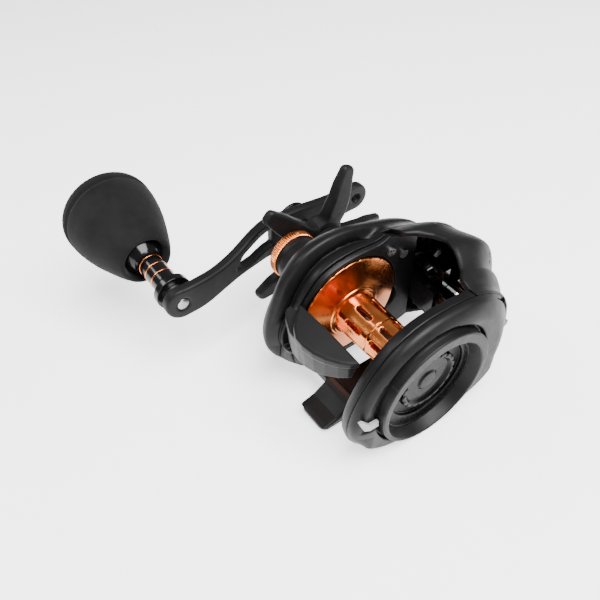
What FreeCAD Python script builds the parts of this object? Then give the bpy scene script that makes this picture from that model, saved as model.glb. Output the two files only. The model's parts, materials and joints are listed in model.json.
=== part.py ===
"""Low-profile baitcasting reel, left-hand retrieve, in millimetres.

Row frame: origin at the centre of the reel foot's underside, +Z up, +Y towards the rod tip, +X towards
the palm side. Shafts run along X. Every profile is drawn in a plane through its own axis, and the
sub-part's Placement then carries it to that axis: the spool, the drive shaft, the worm, the knob.
"""
import FreeCAD, Part
import math
import os
import re
import Sketcher

# ---------------------------------------------------------------- driving dimensions (mm, degrees)
DIMENSIONS = {
    # axes, measured from the centre of the foot's underside
    "spool_y": -5.7, "spool_z": 22.0,
    "drive_y": 8.5, "drive_z": 16.8,
    "worm_y": 23.5, "worm_z": 16.8,
    "bar_y": 27.1, "bar_z": 21.4,
    "knob_y": -44.3, "knob_z": 19.1,
    # spool
    "spool_rim": 17.5, "spool_half": 14.0, "flange": 1.0, "arbor_left": 6.9, "arbor_right": 6.2,
    "arbor_half": 11.4, "arbor_wall": 1.1, "hub_radius": 2.8, "hub_bore": 1.72, "web": 1.2,
    "slot_length": 6.4, "slot_width": 1.7, "slot_from": 1.9, "slot_count": 8,
    # spool shaft
    "shaft_radius": 1.7, "pinion_end_radius": 1.1, "palm_end_radius": 1.28, "cross_pin_radius": 0.45,
    # gears
    "main_teeth": 62, "pinion_teeth": 10, "main_module": 0.42,
    "guide_drive_teeth": 24, "guide_driven_teeth": 16, "guide_module": 0.75,
    "drive_radius": 2.5,
    # frame and covers
    "flange_gap": 0.5, "wall_inner": 16.5, "wall_outer": 18.5, "ring_inner": 14.3, "ring_outer": 18.0,
    "ridge_x": 23.0, "face_x": 31.0, "cover_joint": 18.6, "palm_joint": 18.1, "palm_rim_x": 21.8,
    "palm_ring_x": 23.7, "palm_ring_radius": 18.9, "recess_radius": 12.9, "trench_radius": 21.2,
    # foot
    "foot_length": 60.0, "foot_width": 11.4,
    # control knob of the spool tension
    "cap_radius": 7.5, "cap_ring_radius": 8.3, "cap_ring_from": 41.7, "cap_face": 44.6,
    "cap_from": 39.8, "boss_radius": 6.5,
    # star
    "star_radius": 28.2, "star_thickness": 4.0, "star_hub": 8.0,
    # handle
    "arm_hub_x": 57.0, "arm_tip_x": 47.0, "arm_thickness": 3.6, "arm_tip_radius": 5.6,
    # knob
    "knob_radius": 16.6, "knob_mouth_x": 71.0, "knob_end_x": 104.5, "neck_radius": 4.0,
    "neck_ring_x": 60.0, "neck_ring_pitch": 4.1, "collar_radius": 6.0,
    # line guide
    "guide_rest_x": -8.5, "tube_radius": 3.6, "tube_bore": 2.85, "worm_radius": 2.6, "bar_radius": 1.5,
    # thumb bar
    "pad_top": 12.6, "pad_thick": 3.0,
    "fit": 0.05,
}

# outlines seen from the side as (Y, Z) from the spool's axis, each at its place along X, from the rear
# over the top to the front and back underneath
OUTLINE_CENTRE = 7.0
STATIONS = {
    -23.0: ((-24.6, -5), (-21.6, 4.2), (-17.7, 12.2), (-12.5, 18.4), (-4, 21.6), (6, 21.2), (17.7, 18),
            (26.4, 12.9), (31.5, 6), (33.5, -2), (32, -10), (26, -17), (14, -20.8), (-4, -21.2),
            (-16, -20.2), (-22.3, -14.5)),
    -10.0: ((-25, -5), (-22, 4.5), (-17.5, 12.8), (-11.5, 19), (-3, 22), (8, 23), (21, 22.2), (31, 19.8),
            (38, 13.6), (41, 2.5), (39, -9), (31, -17), (14, -20.8), (-4, -21.2), (-17, -19.8),
            (-23.5, -13.5)),
    1.0: ((-25, -5), (-22, 4.5), (-17.5, 12.8), (-11.5, 19), (-3, 22), (8, 23.4), (21, 23.2), (31.5, 21.4),
          (39, 15.6), (41.6, 3.6), (39, -8.5), (30.5, -17), (14, -20.8), (-4, -21.2), (-17, -19.8),
          (-23.5, -13.5)),
    9.0: ((-25.4, -5), (-22.4, 4.5), (-17.6, 13), (-11.4, 19.1), (-3, 22), (7.5, 22.6), (19, 21.6),
          (28.5, 18.2), (34.6, 11.6), (36.6, 2), (35, -8), (28, -16.2), (13.5, -20.2), (-4, -20.9),
          (-17, -19.5), (-24, -13.7)),
    16.0: ((-26.8, -5), (-23.8, 5), (-17.8, 13.8), (-11, 19.5), (-3, 22.2), (7, 22.4), (17, 20.8),
           (26, 16.5), (32.3, 9), (35, 0), (33, -9.5), (26.5, -16.5), (13, -19.8), (-4, -20.6),
           (-17, -19.2), (-24.8, -13.8)),
    20.0: ((-26.3, -4.5), (-23.3, 5), (-17.5, 13.6), (-11, 19.3), (-3, 22.1), (6, 22.2), (15, 20.9),
           (22.5, 16.8), (27.8, 9.5), (29.8, 0), (28.5, -9), (23.5, -15.5), (12, -19), (-4, -19.6),
           (-16, -17.8), (-23.3, -12.6)),
}
# the window over the spool and the line guide, seen from above as (X, Y)
WINDOW = ((-30, -40), (-30, 12), (-17.6, 21.5), (-14, 27.5), (-10.8, 31), (-6.5, 32.6), (-2.7, 32.6),
          (2.4, 30.8), (6, 27), (9, 22.5), (12, 16.5), (13.6, 10), (13.6, -40))
# the thumb pad seen from above as (X, Y)
PAD_OUTLINE = ((-14.0, -18.3), (11.2, -18.3), (10.4, -20.0), (8.4, -22.1), (5.2, -24.3), (1.8, -25.7),
               (-1.9, -26.3), (-4.8, -26.1), (-8.2, -24.3), (-11.5, -21.2))
# foot rivets as places along Y of the row frame; the rest as (Y, Z) from the spool's axis
RIVETS = (-15.0, 14.0)
COVER_SCREWS = ((14.5, 14.5), (19.8, 11.2), (-10.5, -17.2), (35.0, 3.5))
POSTS = ((-2.0, -9.5), (-2.0, 9.5))
HEXAGON = (("1", "0"), ("0.5", "0.866"), ("-0.5", "0.866"), ("-1", "0"), ("-0.5", "-0.866"), ("0.5", "-0.866"))

DOC = FreeCAD.newDocument("BaitcastingReel")
SHEET = DOC.addObject("Spreadsheet::Sheet", "Dims")
PARTS = []


def fill_sheet():
    """Write each driving dimension to its own aliased cell."""
    for row, (alias, number) in enumerate(DIMENSIONS.items(), start=1):
        SHEET.set(f"A{row}", alias)
        SHEET.set(f"B{row}", str(number))
        SHEET.setAlias(f"B{row}", alias)
    DOC.recompute()


def bound(text):
    """An expression with each dimension's name turned into a reference to its cell."""
    def refer(found):
        word = found.group()
        return f"Dims.{word}" if word in DIMENSIONS else word
    return re.sub(r"[A-Za-z_]+", refer, str(text))


def size(text):
    """The present value of an expression, for the shapes that Part's functions make."""
    return float(PARTS_PROBE.evalExpression(bound(text)))


def place(thing, axis, along="0", turn=None):
    """Put a sub-part on an axis named in the sheet, moved along X and turned about X."""
    if turn is not None:
        thing.Placement = FreeCAD.Placement(FreeCAD.Vector(), FreeCAD.Rotation(FreeCAD.Vector(1, 0, 0), turn))
    thing.setExpression("Placement.Base.x", bound(along))
    thing.setExpression("Placement.Base.y", bound(f"{axis}_y"))
    thing.setExpression("Placement.Base.z", bound(f"{axis}_z"))


def keep(thing, label):
    """Name a sub-part and list it for export."""
    thing.Label = label
    PARTS.append(thing)
    return thing


# ---------------------------------------------------------------- sketch helpers
def origin_plane(body, role):
    return [item for item in body.Origin.OriginFeatures if item.Role == role][0]


def add_loop(sketch, corners):
    """A closed outline of straight edges whose corners are expression pairs."""
    first = sketch.GeometryCount
    places = [tuple(float(sketch.evalExpression(bound(text))) for text in corner) for corner in corners]
    count = len(places)
    for index, start in enumerate(places):
        end = places[(index + 1) % count]
        sketch.addGeometry(Part.LineSegment(FreeCAD.Vector(*start, 0), FreeCAD.Vector(*end, 0)), False)
    for index in range(count):
        following = first + (index + 1) % count
        sketch.addConstraint(Sketcher.Constraint("Coincident", first + index, 2, following, 1))
    for index, pair in enumerate(corners):
        for kind, text, number in zip(("DistanceX", "DistanceY"), pair, places[index]):
            made = sketch.addConstraint(Sketcher.Constraint(kind, -1, 1, first + index, 1, number))
            sketch.setExpression(f"Constraints[{made}]", bound(text))


def add_circle(sketch, u, v, radius):
    """A circle whose centre and radius are expressions."""
    centre = [float(sketch.evalExpression(bound(text))) for text in (u, v)]
    measure = float(sketch.evalExpression(bound(radius)))
    circle = Part.Circle(FreeCAD.Vector(*centre, 0), FreeCAD.Vector(0, 0, 1), measure)
    index = sketch.addGeometry(circle, False)
    for kind, text, number in zip(("DistanceX", "DistanceY"), (u, v), centre):
        made = sketch.addConstraint(Sketcher.Constraint(kind, -1, 1, index, 3, number))
        sketch.setExpression(f"Constraints[{made}]", bound(text))
    made = sketch.addConstraint(Sketcher.Constraint("Radius", index, measure))
    sketch.setExpression(f"Constraints[{made}]", bound(radius))


def new_sketch(body, role, loops):
    sketch = body.newObject("Sketcher::SketchObject", "Outline")
    sketch.AttachmentSupport = [(origin_plane(body, role), "")]
    sketch.MapMode = "FlatFace"
    for loop in loops:
        if len(loop) == 3 and isinstance(loop[0], str):
            add_circle(sketch, *loop)
        else:
            add_loop(sketch, loop)
    return sketch


def turned(label, axis, *loops):
    """A body revolved about X: each loop lists (along X, radius)."""
    body = DOC.addObject("PartDesign::Body", "Turned")
    sketch = new_sketch(body, "XY_Plane", loops)
    spun = body.newObject("PartDesign::Revolution", "Spun")
    spun.Profile = sketch
    spun.ReferenceAxis = (sketch, ["H_Axis"])
    spun.Angle = 360
    place(body, axis)
    return keep(body, label) if label else body


def sleeve(label, axis, start, end, outer, inner="0"):
    """A plain turned tube or rod between two places along X."""
    return turned(label, axis, [(start, inner), (end, inner), (end, outer), (start, outer)])


def slab(label, axis, start, thickness, *loops, turn=None):
    """A plate square to X: each loop lists (Y, Z) from its axis; it grows towards +X from start."""
    body = DOC.addObject("PartDesign::Body", "Slab")
    sketch = new_sketch(body, "YZ_Plane", loops)
    pad = body.newObject("PartDesign::Pad", "Thickness")
    pad.Profile = sketch
    pad.setExpression("Length", bound(thickness))
    place(body, axis, start, turn)
    return keep(body, label) if label else body


def pocket_ring(body, count, depth, loop):
    """Cut one outline right through a slab and repeat it around the body's axis."""
    sketch = new_sketch(body, "YZ_Plane", [loop])
    cut = body.newObject("PartDesign::Pocket", "Gap")
    cut.Profile = sketch
    cut.Reversed = True
    cut.setExpression("Length", bound(depth))
    ring = body.newObject("PartDesign::PolarPattern", "Around")
    ring.Originals = [cut]
    ring.Axis = (origin_axis(body), [""])
    ring.Angle = 360
    ring.Occurrences = count
    body.Tip = ring
    return body


def origin_axis(body):
    return [item for item in body.Origin.OriginFeatures if item.Role == "X_Axis"][0]


def gear(label, axis, start, width, teeth, module, bore, turn):
    """A spur gear with straight-flanked teeth and running clearance at every flank."""
    tip = f"{module} * ({teeth} / 2 + 0.8)"
    root = f"{module} * ({teeth} / 2 - 1.15)"
    blank = slab(label, axis, start, width, ("0", "0", tip), ("0", "0", bore), turn=turn)
    gap = [(f"-0.6 * {module}", root), (f"0.6 * {module}", root),
           (f"1.5 * {module}", f"{tip} + 0.2"), (f"-1.5 * {module}", f"{tip} + 0.2")]
    return pocket_ring(blank, int(size(teeth)), width, gap)


def joined(label, kind, *things):
    """A boolean or a group of objects as one sub-part."""
    if kind == "Cut":
        result = DOC.addObject("Part::Cut", "Cut")
        result.Base = things[0]
        result.Tool = things[1]
    elif kind == "Fuse":
        result = DOC.addObject("Part::MultiFuse", "Fuse")
        result.Shapes = list(things)
    else:
        result = DOC.addObject("Part::Compound", "Group")
        result.Links = list(things)
    return keep(result, label) if label else result


# ---------------------------------------------------------------- free-form helpers
def outline_at(x):
    """The side outline's (Y, Z) points at one place along X, between the two nearest stations."""
    places = sorted(STATIONS)
    x = min(max(x, places[0]), places[-1])
    index = max(i for i, place in enumerate(places[:-1]) if place <= x)
    low, high = places[index], places[index + 1]
    share = (x - low) / (high - low)
    share = share * share * (3 - 2 * share)
    return [(a[0] + share * (b[0] - a[0]), a[1] + share * (b[1] - a[1]))
            for a, b in zip(STATIONS[low], STATIONS[high])]


def side_wire(inset, x, front_inset=None):
    """The outline at x, moved in by an inset: less underneath, and another one ahead of the spool."""
    points = []
    for y, z in outline_at(x):
        ahead = min(max((y - 8.0) / 12.0, 0.0), 1.0)
        amount = inset if front_inset is None else inset + ahead * (front_inset - inset)
        reach = math.hypot(y - OUTLINE_CENTRE, z)
        under = min(max((z + 16.0) / 6.0, 0.12), 1.0)
        shrink = 1 - amount * under / reach
        points.append(FreeCAD.Vector(x, OUTLINE_CENTRE + (y - OUTLINE_CENTRE) * shrink, z * shrink))
    curve = Part.BSplineCurve()
    curve.interpolate(points, PeriodicFlag=True)
    return Part.Wire([curve.toShape()])


def side_slab(inset, start, end, front_inset=None):
    """A slice of the side outline between two places along X."""
    wires = [side_wire(inset, x, front_inset) for x in (start, (start + end) / 2, end)]
    return Part.makeLoft(wires, True, False)


def rod(start, end, radius, y=0.0, z=0.0):
    """A cylinder along X between two places."""
    low = min(start, end)
    return Part.makeCylinder(radius, abs(end - start), FreeCAD.Vector(low, y, z), FreeCAD.Vector(1, 0, 0))


def block(x_range, y_range, z_range):
    """A box between two corners."""
    corner = FreeCAD.Vector(x_range[0], y_range[0], z_range[0])
    return Part.makeBox(x_range[1] - x_range[0], y_range[1] - y_range[0], z_range[1] - z_range[0], corner)


def prism(points, start, end):
    """An outline of (Y, Z) corners swept along X."""
    corners = [FreeCAD.Vector(start, y, z) for y, z in points]
    face = Part.Face(Part.makePolygon(corners + corners[:1]))
    return face.extrude(FreeCAD.Vector(end - start, 0, 0))


def shaped(label, shape, axis="spool"):
    """A sub-part whose shape comes from Part's functions, drawn about one of the axes."""
    feature = DOC.addObject("Part::Feature", "Shaped")
    feature.Shape = shape
    place(feature, axis)
    return keep(feature, label)


def from_spool(axis):
    """Where another axis lies, seen from the spool's axis."""
    return size(f"{axis}_y - spool_y"), size(f"{axis}_z - spool_z")


# ---------------------------------------------------------------- frame and covers
def make_frame():
    """Two side walls joined by beams; the handle-side wall is a cup round the spool's flange."""
    drive, worm, bar = from_spool("drive"), from_spool("worm"), from_spool("bar")
    opening = size("spool_rim + flange_gap")
    handle_wall = side_slab(2.2, -size("wall_outer"), -size("ring_inner"), 0.4)
    handle_wall = handle_wall.cut(rod(-size("wall_inner"), 0, opening))
    palm_wall = side_slab(1.0, size("ring_inner"), size("ring_outer"), 0.2).cut(rod(0, 20, opening))
    walls = handle_wall.fuse(palm_wall)
    beams = [block((-15.5, 15.5), (23.0, 29.0), (-15.5, -12.2)),
             block((-15.5, 15.5), (-19.6, -15.2), (-15.4, -11.6)),
             block((-5.6, 5.6), (-19.6, 24.0), (-20.25, -18.1)),
             prism([(22.0, -20.25), (25.5, -20.25), (29.0, -15.0), (23.0, -15.0)], -5.6, 5.6),
             prism([(-19.6, -20.25), (-15.2, -20.25), (-15.2, -15.0), (-19.6, -15.0)], -5.6, 5.6)]
    frame = walls.multiFuse(beams)
    holes = [rod(-20, -15, 4.2), rod(-20, -15, 5.0, *drive), rod(-20, 20, 3.65, *worm),
             rod(-20, 20, 1.52, *bar)]
    holes += [rod(-20, -14, 1.0, *screw) for screw in COVER_SCREWS]
    holes += [upright(along - size("spool_y"), -21, -18, 1.27) for along in RIVETS]
    front_gap = prism([(19.5, -10.0), (25.0, -10.0), (25.0, 12.0), (19.5, 13.0)], 14.0, 18.5)
    frame = frame.cut(Part.makeCompound(holes)).cut(front_gap)
    return shaped("frame", frame.removeSplitter())


def make_hood():
    """The bridge over the line guide, which ties the two walls together at the front."""
    stations = (-14.2, -7.0, 0.0, 7.0, 14.2)
    outer = Part.makeLoft([side_wire(0.3, x) for x in stations], True, False)
    inner = Part.makeLoft([side_wire(2.4, x) for x in (-16.0, -7.0, 0.0, 7.0, 16.0)], True, False)
    keep_zone = prism([(14.0, 9.5), (44.0, 5.0), (44.0, 30.0), (14.0, 30.0)], -14.2, 14.2)
    corners = [FreeCAD.Vector(x, y, 0) for x, y in WINDOW]
    window = Part.Face(Part.makePolygon(corners + corners[:1])).extrude(FreeCAD.Vector(0, 0, 40))
    return shaped("front_hood", outer.cut(inner).common(keep_zone).cut(window).removeSplitter())


def make_handle_cover():
    """The gear case: widest at its ridge, closing in outboard, with two bosses and the gear space."""
    drive, worm = from_spool("drive"), from_spool("worm")
    sections = [(2.4, "cover_joint"), (0.0, "ridge_x"), (3.2, "ridge_x + 4.5"), (7.5, "face_x")]
    wires = [side_wire(inset, -size(x)) for inset, x in sections]
    shell = Part.makeLoft(wires, True, False)
    cap_boss = Part.makeCone(13.5, 8.2, 12.0, FreeCAD.Vector(-28, 0, 0), FreeCAD.Vector(-1, 0, 0))
    drive_boss = Part.makeCone(13.0, 8.6, 17.0, FreeCAD.Vector(-27, *drive), FreeCAD.Vector(-1, 0, 0))
    cap_seat = rod(-39.5, -43.0, size("boss_radius"))
    shell = shell.multiFuse([cap_boss, drive_boss, cap_seat])
    bosses_end = block((-60, -44), (-40, 60), (-40, 40))
    shell = shell.cut(bosses_end)
    spaces = [rod(-18, -24.6, 16.2), rod(-24, -30.6, 12.6), rod(-18, -30.6, 13.9, *drive),
              rod(-18, -24.0, 8.0, *worm), rod(-30, -45, 3.65), rod(-30, -39.6, 5.9, *drive),
              rod(-39, -45, 4.6, *drive), rod(-39.7, -43.0, 8.7).cut(rod(-39, -44, size("boss_radius"))),
              rod(-43.0, -46, 8.7)]
    spaces += [rod(-18, -22.5, 1.0, *screw) for screw in COVER_SCREWS]
    for space in spaces:
        shell = shell.cut(space)
    # the bearing seats step in behind each bearing
    shell = shell.fuse(rod(-35.6, -37.4, 3.9).cut(rod(-35, -38, 2.6)))
    trim = block((-50, -18), (-27, 40), (-30, -21.3))
    return shaped("handle_side_cover", shell.cut(trim).removeSplitter())


def make_palm_plate():
    """The removable side plate: a raised ring and trench round a dished recess with the brake dial."""
    sections = [(0.9, "palm_joint"), (0.2, "palm_joint + 1.4"), (1.6, "palm_rim_x")]
    plate = Part.makeLoft([side_wire(inset, size(x)) for inset, x in sections], True, False)
    ring_radius, face = size("palm_ring_radius"), size("palm_ring_x")
    plate = plate.cut(rod(19.9, 25, size("trench_radius")).cut(rod(19, 26, ring_radius)))
    plate = plate.fuse(rod(19.5, face, ring_radius))
    dish = Part.makeCone(size("recess_radius"), ring_radius - 0.8, 1.7,
                         FreeCAD.Vector(face - 1.6, 0, 0), FreeCAD.Vector(1, 0, 0))
    plate = plate.cut(dish).cut(rod(18.9, 30, size("recess_radius")))
    # bearing cup on the inner face, and the hole that the brake dial's stub turns in
    cup = rod(14.6, 18.5, 4.6)
    plate = plate.fuse(cup).cut(rod(14, 17.25, 3.56)).cut(rod(17, 20, 2.65))
    lever_seat = rod(19.2, 22, 3.4, -17.6, -10.6)
    return shaped("palm_side_plate", plate.cut(lever_seat).removeSplitter())


def make_foot():
    """The rod seat's foot: a flat blade with thin rounded ends, riveted under the frame's spine."""
    half, wide = size("foot_length") / 2, size("foot_width") / 2
    middle, base = -size("spool_y"), -size("spool_z")
    side = [(-half, 0), (half, 0), (half, 1.1), (0.55 * half, 1.75), (-25.4, 1.75), (-26.2, 2.4), (-half, 2.4)]
    blade = prism([(y + middle, z + base) for y, z in side], -wide, wide)
    ends = Part.makeCylinder(half, 10, FreeCAD.Vector(0, middle, base - 2))
    holes = [upright(middle + along, base - 2, base + 9, 1.3) for along in RIVETS]
    return shaped("reel_foot", blade.common(ends).cut(Part.makeCompound(holes)))


def upright(y, low, high, radius, x=0.0):
    """A cylinder along Z between two heights."""
    return Part.makeCylinder(radius, high - low, FreeCAD.Vector(x, y, low))


def make_foot_rivets():
    middle, base = -size("spool_y"), -size("spool_z")
    rivets = []
    for along in RIVETS:
        shank = upright(middle + along, base + 0.45, -18.1, 1.25)
        rivets.append(shank.fuse(upright(middle + along, -18.1, -17.6, 2.2)).removeSplitter())
    shaped("foot_rivets", Part.makeCompound(rivets))


def make_cover_screws():
    """Screws from the frame's inner wall into the gear case."""
    screws = []
    for y, z in COVER_SCREWS:
        head = rod(-size("ring_inner") + 0.9, -size("ring_inner"), 1.5, y, z)
        screws.append(head.fuse(rod(-size("ring_inner"), -22.0, 0.98, y, z)).removeSplitter())
    shaped("cover_screws", Part.makeCompound(screws))


def make_set_plate():
    """The plate behind the gears that carries the clutch posts."""
    drive, worm = from_spool("drive"), from_spool("worm")
    far, near = -19.6, -18.65
    plate = rod(far, near, 15.8).multiFuse([rod(far, near, 13.6, *drive), rod(far, near, 7.5, *worm)])
    holes = [rod(-21, -18, 4.0), rod(-21, -18, 3.2, *drive), rod(-21, -18, 2.0, *worm)]
    holes += [rod(-21, -18, 0.82, *post) for post in POSTS]
    return shaped("set_plate", plate.cut(Part.makeCompound(holes)).removeSplitter())


def make_clutch():
    """Posts, springs and yoke that slide the pinion off the spool's cross pin, and the cam that lifts it."""
    shaped("yoke_posts", Part.makeCompound([rod(-30.4, -18.7, 0.8, *post) for post in POSTS]))
    springs = [rod(-30.5, -25.6, 1.55, *post).cut(rod(-31, -25, 0.85, *post)) for post in POSTS]
    shaped("yoke_springs", Part.makeCompound(springs))
    yoke = block((-23.75, -22.85), (-5.5, 1.4), (-11.1, 11.1))
    notch = rod(-25, -22, 2.15).fuse(block((-25, -22), (0, 5), (-2.15, 2.15)))
    yoke = yoke.cut(notch).cut(Part.makeCompound([rod(-25, -22, 0.86, *post) for post in POSTS]))
    shaped("clutch_yoke", yoke.removeSplitter())
    cam = rod(-22.3, -21.2, 5.2).fuse(block((-22.3, -21.2), (-14.5, -4.5), (-1.8, 1.8)))
    shaped("clutch_cam", cam.cut(rod(-23, -20, 3.75)).removeSplitter())


def make_thumb_bar():
    """The clutch bar: a D-shaped thumb pad with a skirt round it, open underneath."""
    top, depth = size("pad_top"), 16.0
    corners = [FreeCAD.Vector(x, y, top - depth) for x, y in PAD_OUTLINE]
    outline = Part.Face(Part.makePolygon(corners + corners[:1]))
    solid = outline.extrude(FreeCAD.Vector(0, 0, depth))
    hollow = outline.extrude(FreeCAD.Vector(0, 0, depth - size("pad_thick")))
    hollow.scale(0.82, FreeCAD.Vector(-1.0, -21.4, top - depth - 1.0))
    underneath = block((-40, 40), (-40, 0), (-40, 0))
    slope = math.degrees(math.atan(0.28))
    underneath.Placement = FreeCAD.Placement(FreeCAD.Vector(0, 0, 2.2),
                                             FreeCAD.Rotation(FreeCAD.Vector(0, 1, 0), -slope))
    return shaped("thumb_bar", solid.cut(hollow).cut(underneath).removeSplitter())


def make_line_guide():
    """Guide tube with its slot, and the carriage that the worm drives along it."""
    worm, bar = from_spool("worm"), from_spool("bar")
    tube = rod(-18.4, 17.9, size("tube_radius"), *worm).cut(rod(-19, 19, size("tube_bore"), *worm))
    slot = block((-13.9, 13.9), (worm[0] - 1.7, worm[0] + 1.7), (worm[1] - 5, worm[1] - 1))
    shaped("guide_tube", tube.cut(slot))
    y, z = worm
    at = size("guide_rest_x")
    body = block((at - 5, at + 5), (y - 4.6, y + 6.4), (z - 4.7, z + 4.7))
    body = body.fuse(block((at - 4.8, at + 4.8), (y - 1.4, y + 1.2), (z + 4.7, z + 11.9)))
    eye = Part.makeCylinder(3.3, 20, FreeCAD.Vector(at, y - 8, z + 8.4), FreeCAD.Vector(0, 1, 0))
    holes = [rod(at - 8, at + 8, size("tube_radius") + 0.06, y, z), rod(at - 8, at + 8, 1.56, *bar), eye,
             upright(y, z - 6, z, 1.45, at)]
    shaped("line_guide", body.cut(Part.makeCompound(holes)).removeSplitter())
    ring = Part.makeCylinder(3.28, 3.4, FreeCAD.Vector(at, y - 1.8, z + 8.4), FreeCAD.Vector(0, 1, 0))
    hole = Part.makeCylinder(2.3, 9, FreeCAD.Vector(at, y - 3, z + 8.4), FreeCAD.Vector(0, 1, 0))
    shaped("line_ring", ring.cut(hole))
    shaped("guide_pawl", upright(y, z - 4.75, z - 2.7, 1.4, at))
    shaped("pawl_cap", upright(y, z - 6.0, z - 4.8, 2.3, at))


def make_handle_arm():
    """The one-sided arm: an S-bend seen from above, a slotted blade seen from the side."""
    drive, knob = from_spool("drive"), from_spool("knob")
    thick, hub_x, tip_x = size("arm_thickness"), -size("arm_hub_x"), -size("arm_tip_x")
    near = [(tip_x, knob[0] - 7), (tip_x, -27.0), (tip_x - 1.5, -22.5), (hub_x + 1.5, -4.0), (hub_x, 0.0),
            (hub_x, drive[0] + 31)]
    far = [(x - thick, y) for x, y in reversed(near)]
    corners = [FreeCAD.Vector(x, y, -30) for x, y in near + far]
    bend = Part.Face(Part.makePolygon(corners + corners[:1])).extrude(FreeCAD.Vector(0, 0, 60))
    y, z = drive
    tip_y, tip_z = knob
    end_y, end_z = y + 23.4, z + 2.3
    upper = [(tip_y, tip_z + 5.5), (-31, 2.8), (-22, 2.5), (-15, 2.9), (-8, 4.0), (0, 3.8), (y + 7, z + 7.5),
             (y + 15, z + 7.0), (end_y, end_z + 5.2)]
    lower = [(end_y, end_z - 5.2), (y + 15, z - 3.4), (y + 7, z - 5.6), (0, -11.0), (-8, -9.0), (-15, -7.4),
             (-22, -6.9), (-31, -7.6), (tip_y, tip_z - 5.5)]
    blade = prism(upper + lower, -70, -40)
    ends = [rod(-70, -40, size("arm_tip_radius"), *knob), rod(-70, -40, 5.2, end_y, end_z),
            rod(-70, -40, 7.8, y, z + 0.4)]
    slot = prism([(-16.6, -2.8), (-13, -0.1), (-6, 0.6), (1.0, 0.3), (1.0, -6.2), (-8, -6.0), (-13.6, -4.6)],
                 -70, -40)
    holes = [rod(-70, -40, 2.93, y, z), rod(-70, -40, 1.6, end_y, end_z), rod(-70, -40, 2.03, *knob), slot]
    arm = blade.multiFuse(ends).common(bend).cut(Part.makeCompound(holes))
    return shaped("handle_arm", arm.removeSplitter())


# ---------------------------------------------------------------- turned and milled parts
def bearing(label, axis, start, width, inner, outer):
    """A ball bearing as its outer envelope: one ring between two radii."""
    return sleeve(label, axis, start, f"{start} + {width}", outer, inner)


def make_spool():
    """Spool with dished flanges and a hollow, tapered, slotted arbor."""
    left = [("-arbor_half - web", "hub_bore"), ("-arbor_half - web", "arbor_left + 0.5"),
            ("-spool_half - flange", "spool_rim - 1.3"), ("-spool_half - flange", "spool_rim"),
            ("-spool_half", "spool_rim"), ("-arbor_half - 0.6", "arbor_left + 1"), ("-arbor_half", "arbor_left")]
    right = [("arbor_half", "arbor_right"), ("arbor_half + 0.6", "arbor_left + 1"), ("spool_half", "spool_rim"),
             ("spool_half + flange", "spool_rim"), ("spool_half + flange", "spool_rim - 1.3"),
             ("arbor_half + web", "arbor_left + 0.5"), ("arbor_half + web", "hub_bore")]
    hollow = [("0.1 - arbor_half", "hub_radius"), ("arbor_half - 0.1", "hub_radius"),
              ("arbor_half - 0.1", "arbor_right - arbor_wall"), ("0.1 - arbor_half", "arbor_left - arbor_wall")]
    body = turned("spool", "spool", left + right, hollow)
    cuts = []
    for side in (1, -1):
        near, far = f"{side} * slot_from", f"{side} * (slot_from + slot_length)"
        sketch = new_sketch(body, "XZ_Plane", [[(near, "-slot_width / 2"), (far, "-slot_width / 2"),
                                                (far, "slot_width / 2"), (near, "slot_width / 2")]])
        sketch.AttachmentOffset = FreeCAD.Placement(FreeCAD.Vector(0, 0, 4), FreeCAD.Rotation())
        cut = body.newObject("PartDesign::Pocket", "Slot")
        cut.Profile = sketch
        cut.Reversed = True
        cut.Length = 6
        cuts.append(cut)
    ring = body.newObject("PartDesign::PolarPattern", "Slots")
    ring.Originals = cuts
    ring.Axis = (origin_axis(body), [""])
    ring.Angle = 360
    ring.Occurrences = int(size("slot_count"))
    body.Tip = ring
    shaft = turned(None, "spool", [("-40.2", "0"), ("17", "0"), ("17", "palm_end_radius"),
                                   ("12.7", "palm_end_radius"), ("12.7", "shaft_radius"), ("-15.5", "shaft_radius"),
                                   ("-15.5", "pinion_end_radius"), ("-40.2", "pinion_end_radius")])
    hole = DOC.addObject("Part::Cylinder", "PinHole")
    hole.setExpression("Radius", bound("cross_pin_radius + 0.01"))
    hole.Height = 6
    hole.Placement.Base = FreeCAD.Vector(-20.7, size("spool_y"), size("spool_z - 3"))
    joined("spool_shaft", "Cut", shaft, hole)
    pin = DOC.addObject("Part::Cylinder", "CrossPin")
    pin.setExpression("Radius", bound("cross_pin_radius"))
    pin.Height = 4.4
    pin.Placement.Base = FreeCAD.Vector(-20.7, size("spool_y"), size("spool_z - 2.2"))
    keep(pin, "clutch_pin")
    turned("brake_rotor", "spool", [("12.65", "1.75"), ("13.8", "1.75"), ("13.8", "9.4"), ("16.2", "9.4"),
                                    ("16.2", "10"), ("13.4", "10"), ("13.4", "5"), ("12.65", "5")])


def make_pinion():
    """Pinion: slotted head for the cross pin, a neck for the yoke, ten teeth and a tail journal."""
    turn = towards("spool", "drive") + 180 / size("pinion_teeth")
    teeth = gear(None, "spool", "-31", "7.1", "pinion_teeth", "main_module", "1.16", turn)
    head = turned(None, "spool", [("-23.95", "1.16"), ("-20", "1.16"), ("-20", "3.2"), ("-22.65", "3.2"),
                                  ("-22.65", "2"), ("-23.95", "2")])
    tail = sleeve(None, "spool", "-35.2", "-30.95", "1.5", "1.16")
    slot = DOC.addObject("Part::Box", "PinSlot")
    slot.Length, slot.Width, slot.Height = 2, 1.1, 8
    slot.Placement.Base = FreeCAD.Vector(-21.35, size("spool_y - 0.55"), size("spool_z - 4"))
    joined("pinion_gear", "Cut", joined(None, "Fuse", teeth, head, tail), slot)


def towards(axis, other):
    """The turn about X that points a sketch's vertical at another axis."""
    return math.degrees(math.atan2(-size(f"{other}_y - {axis}_y"), size(f"{other}_z - {axis}_z")))


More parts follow.
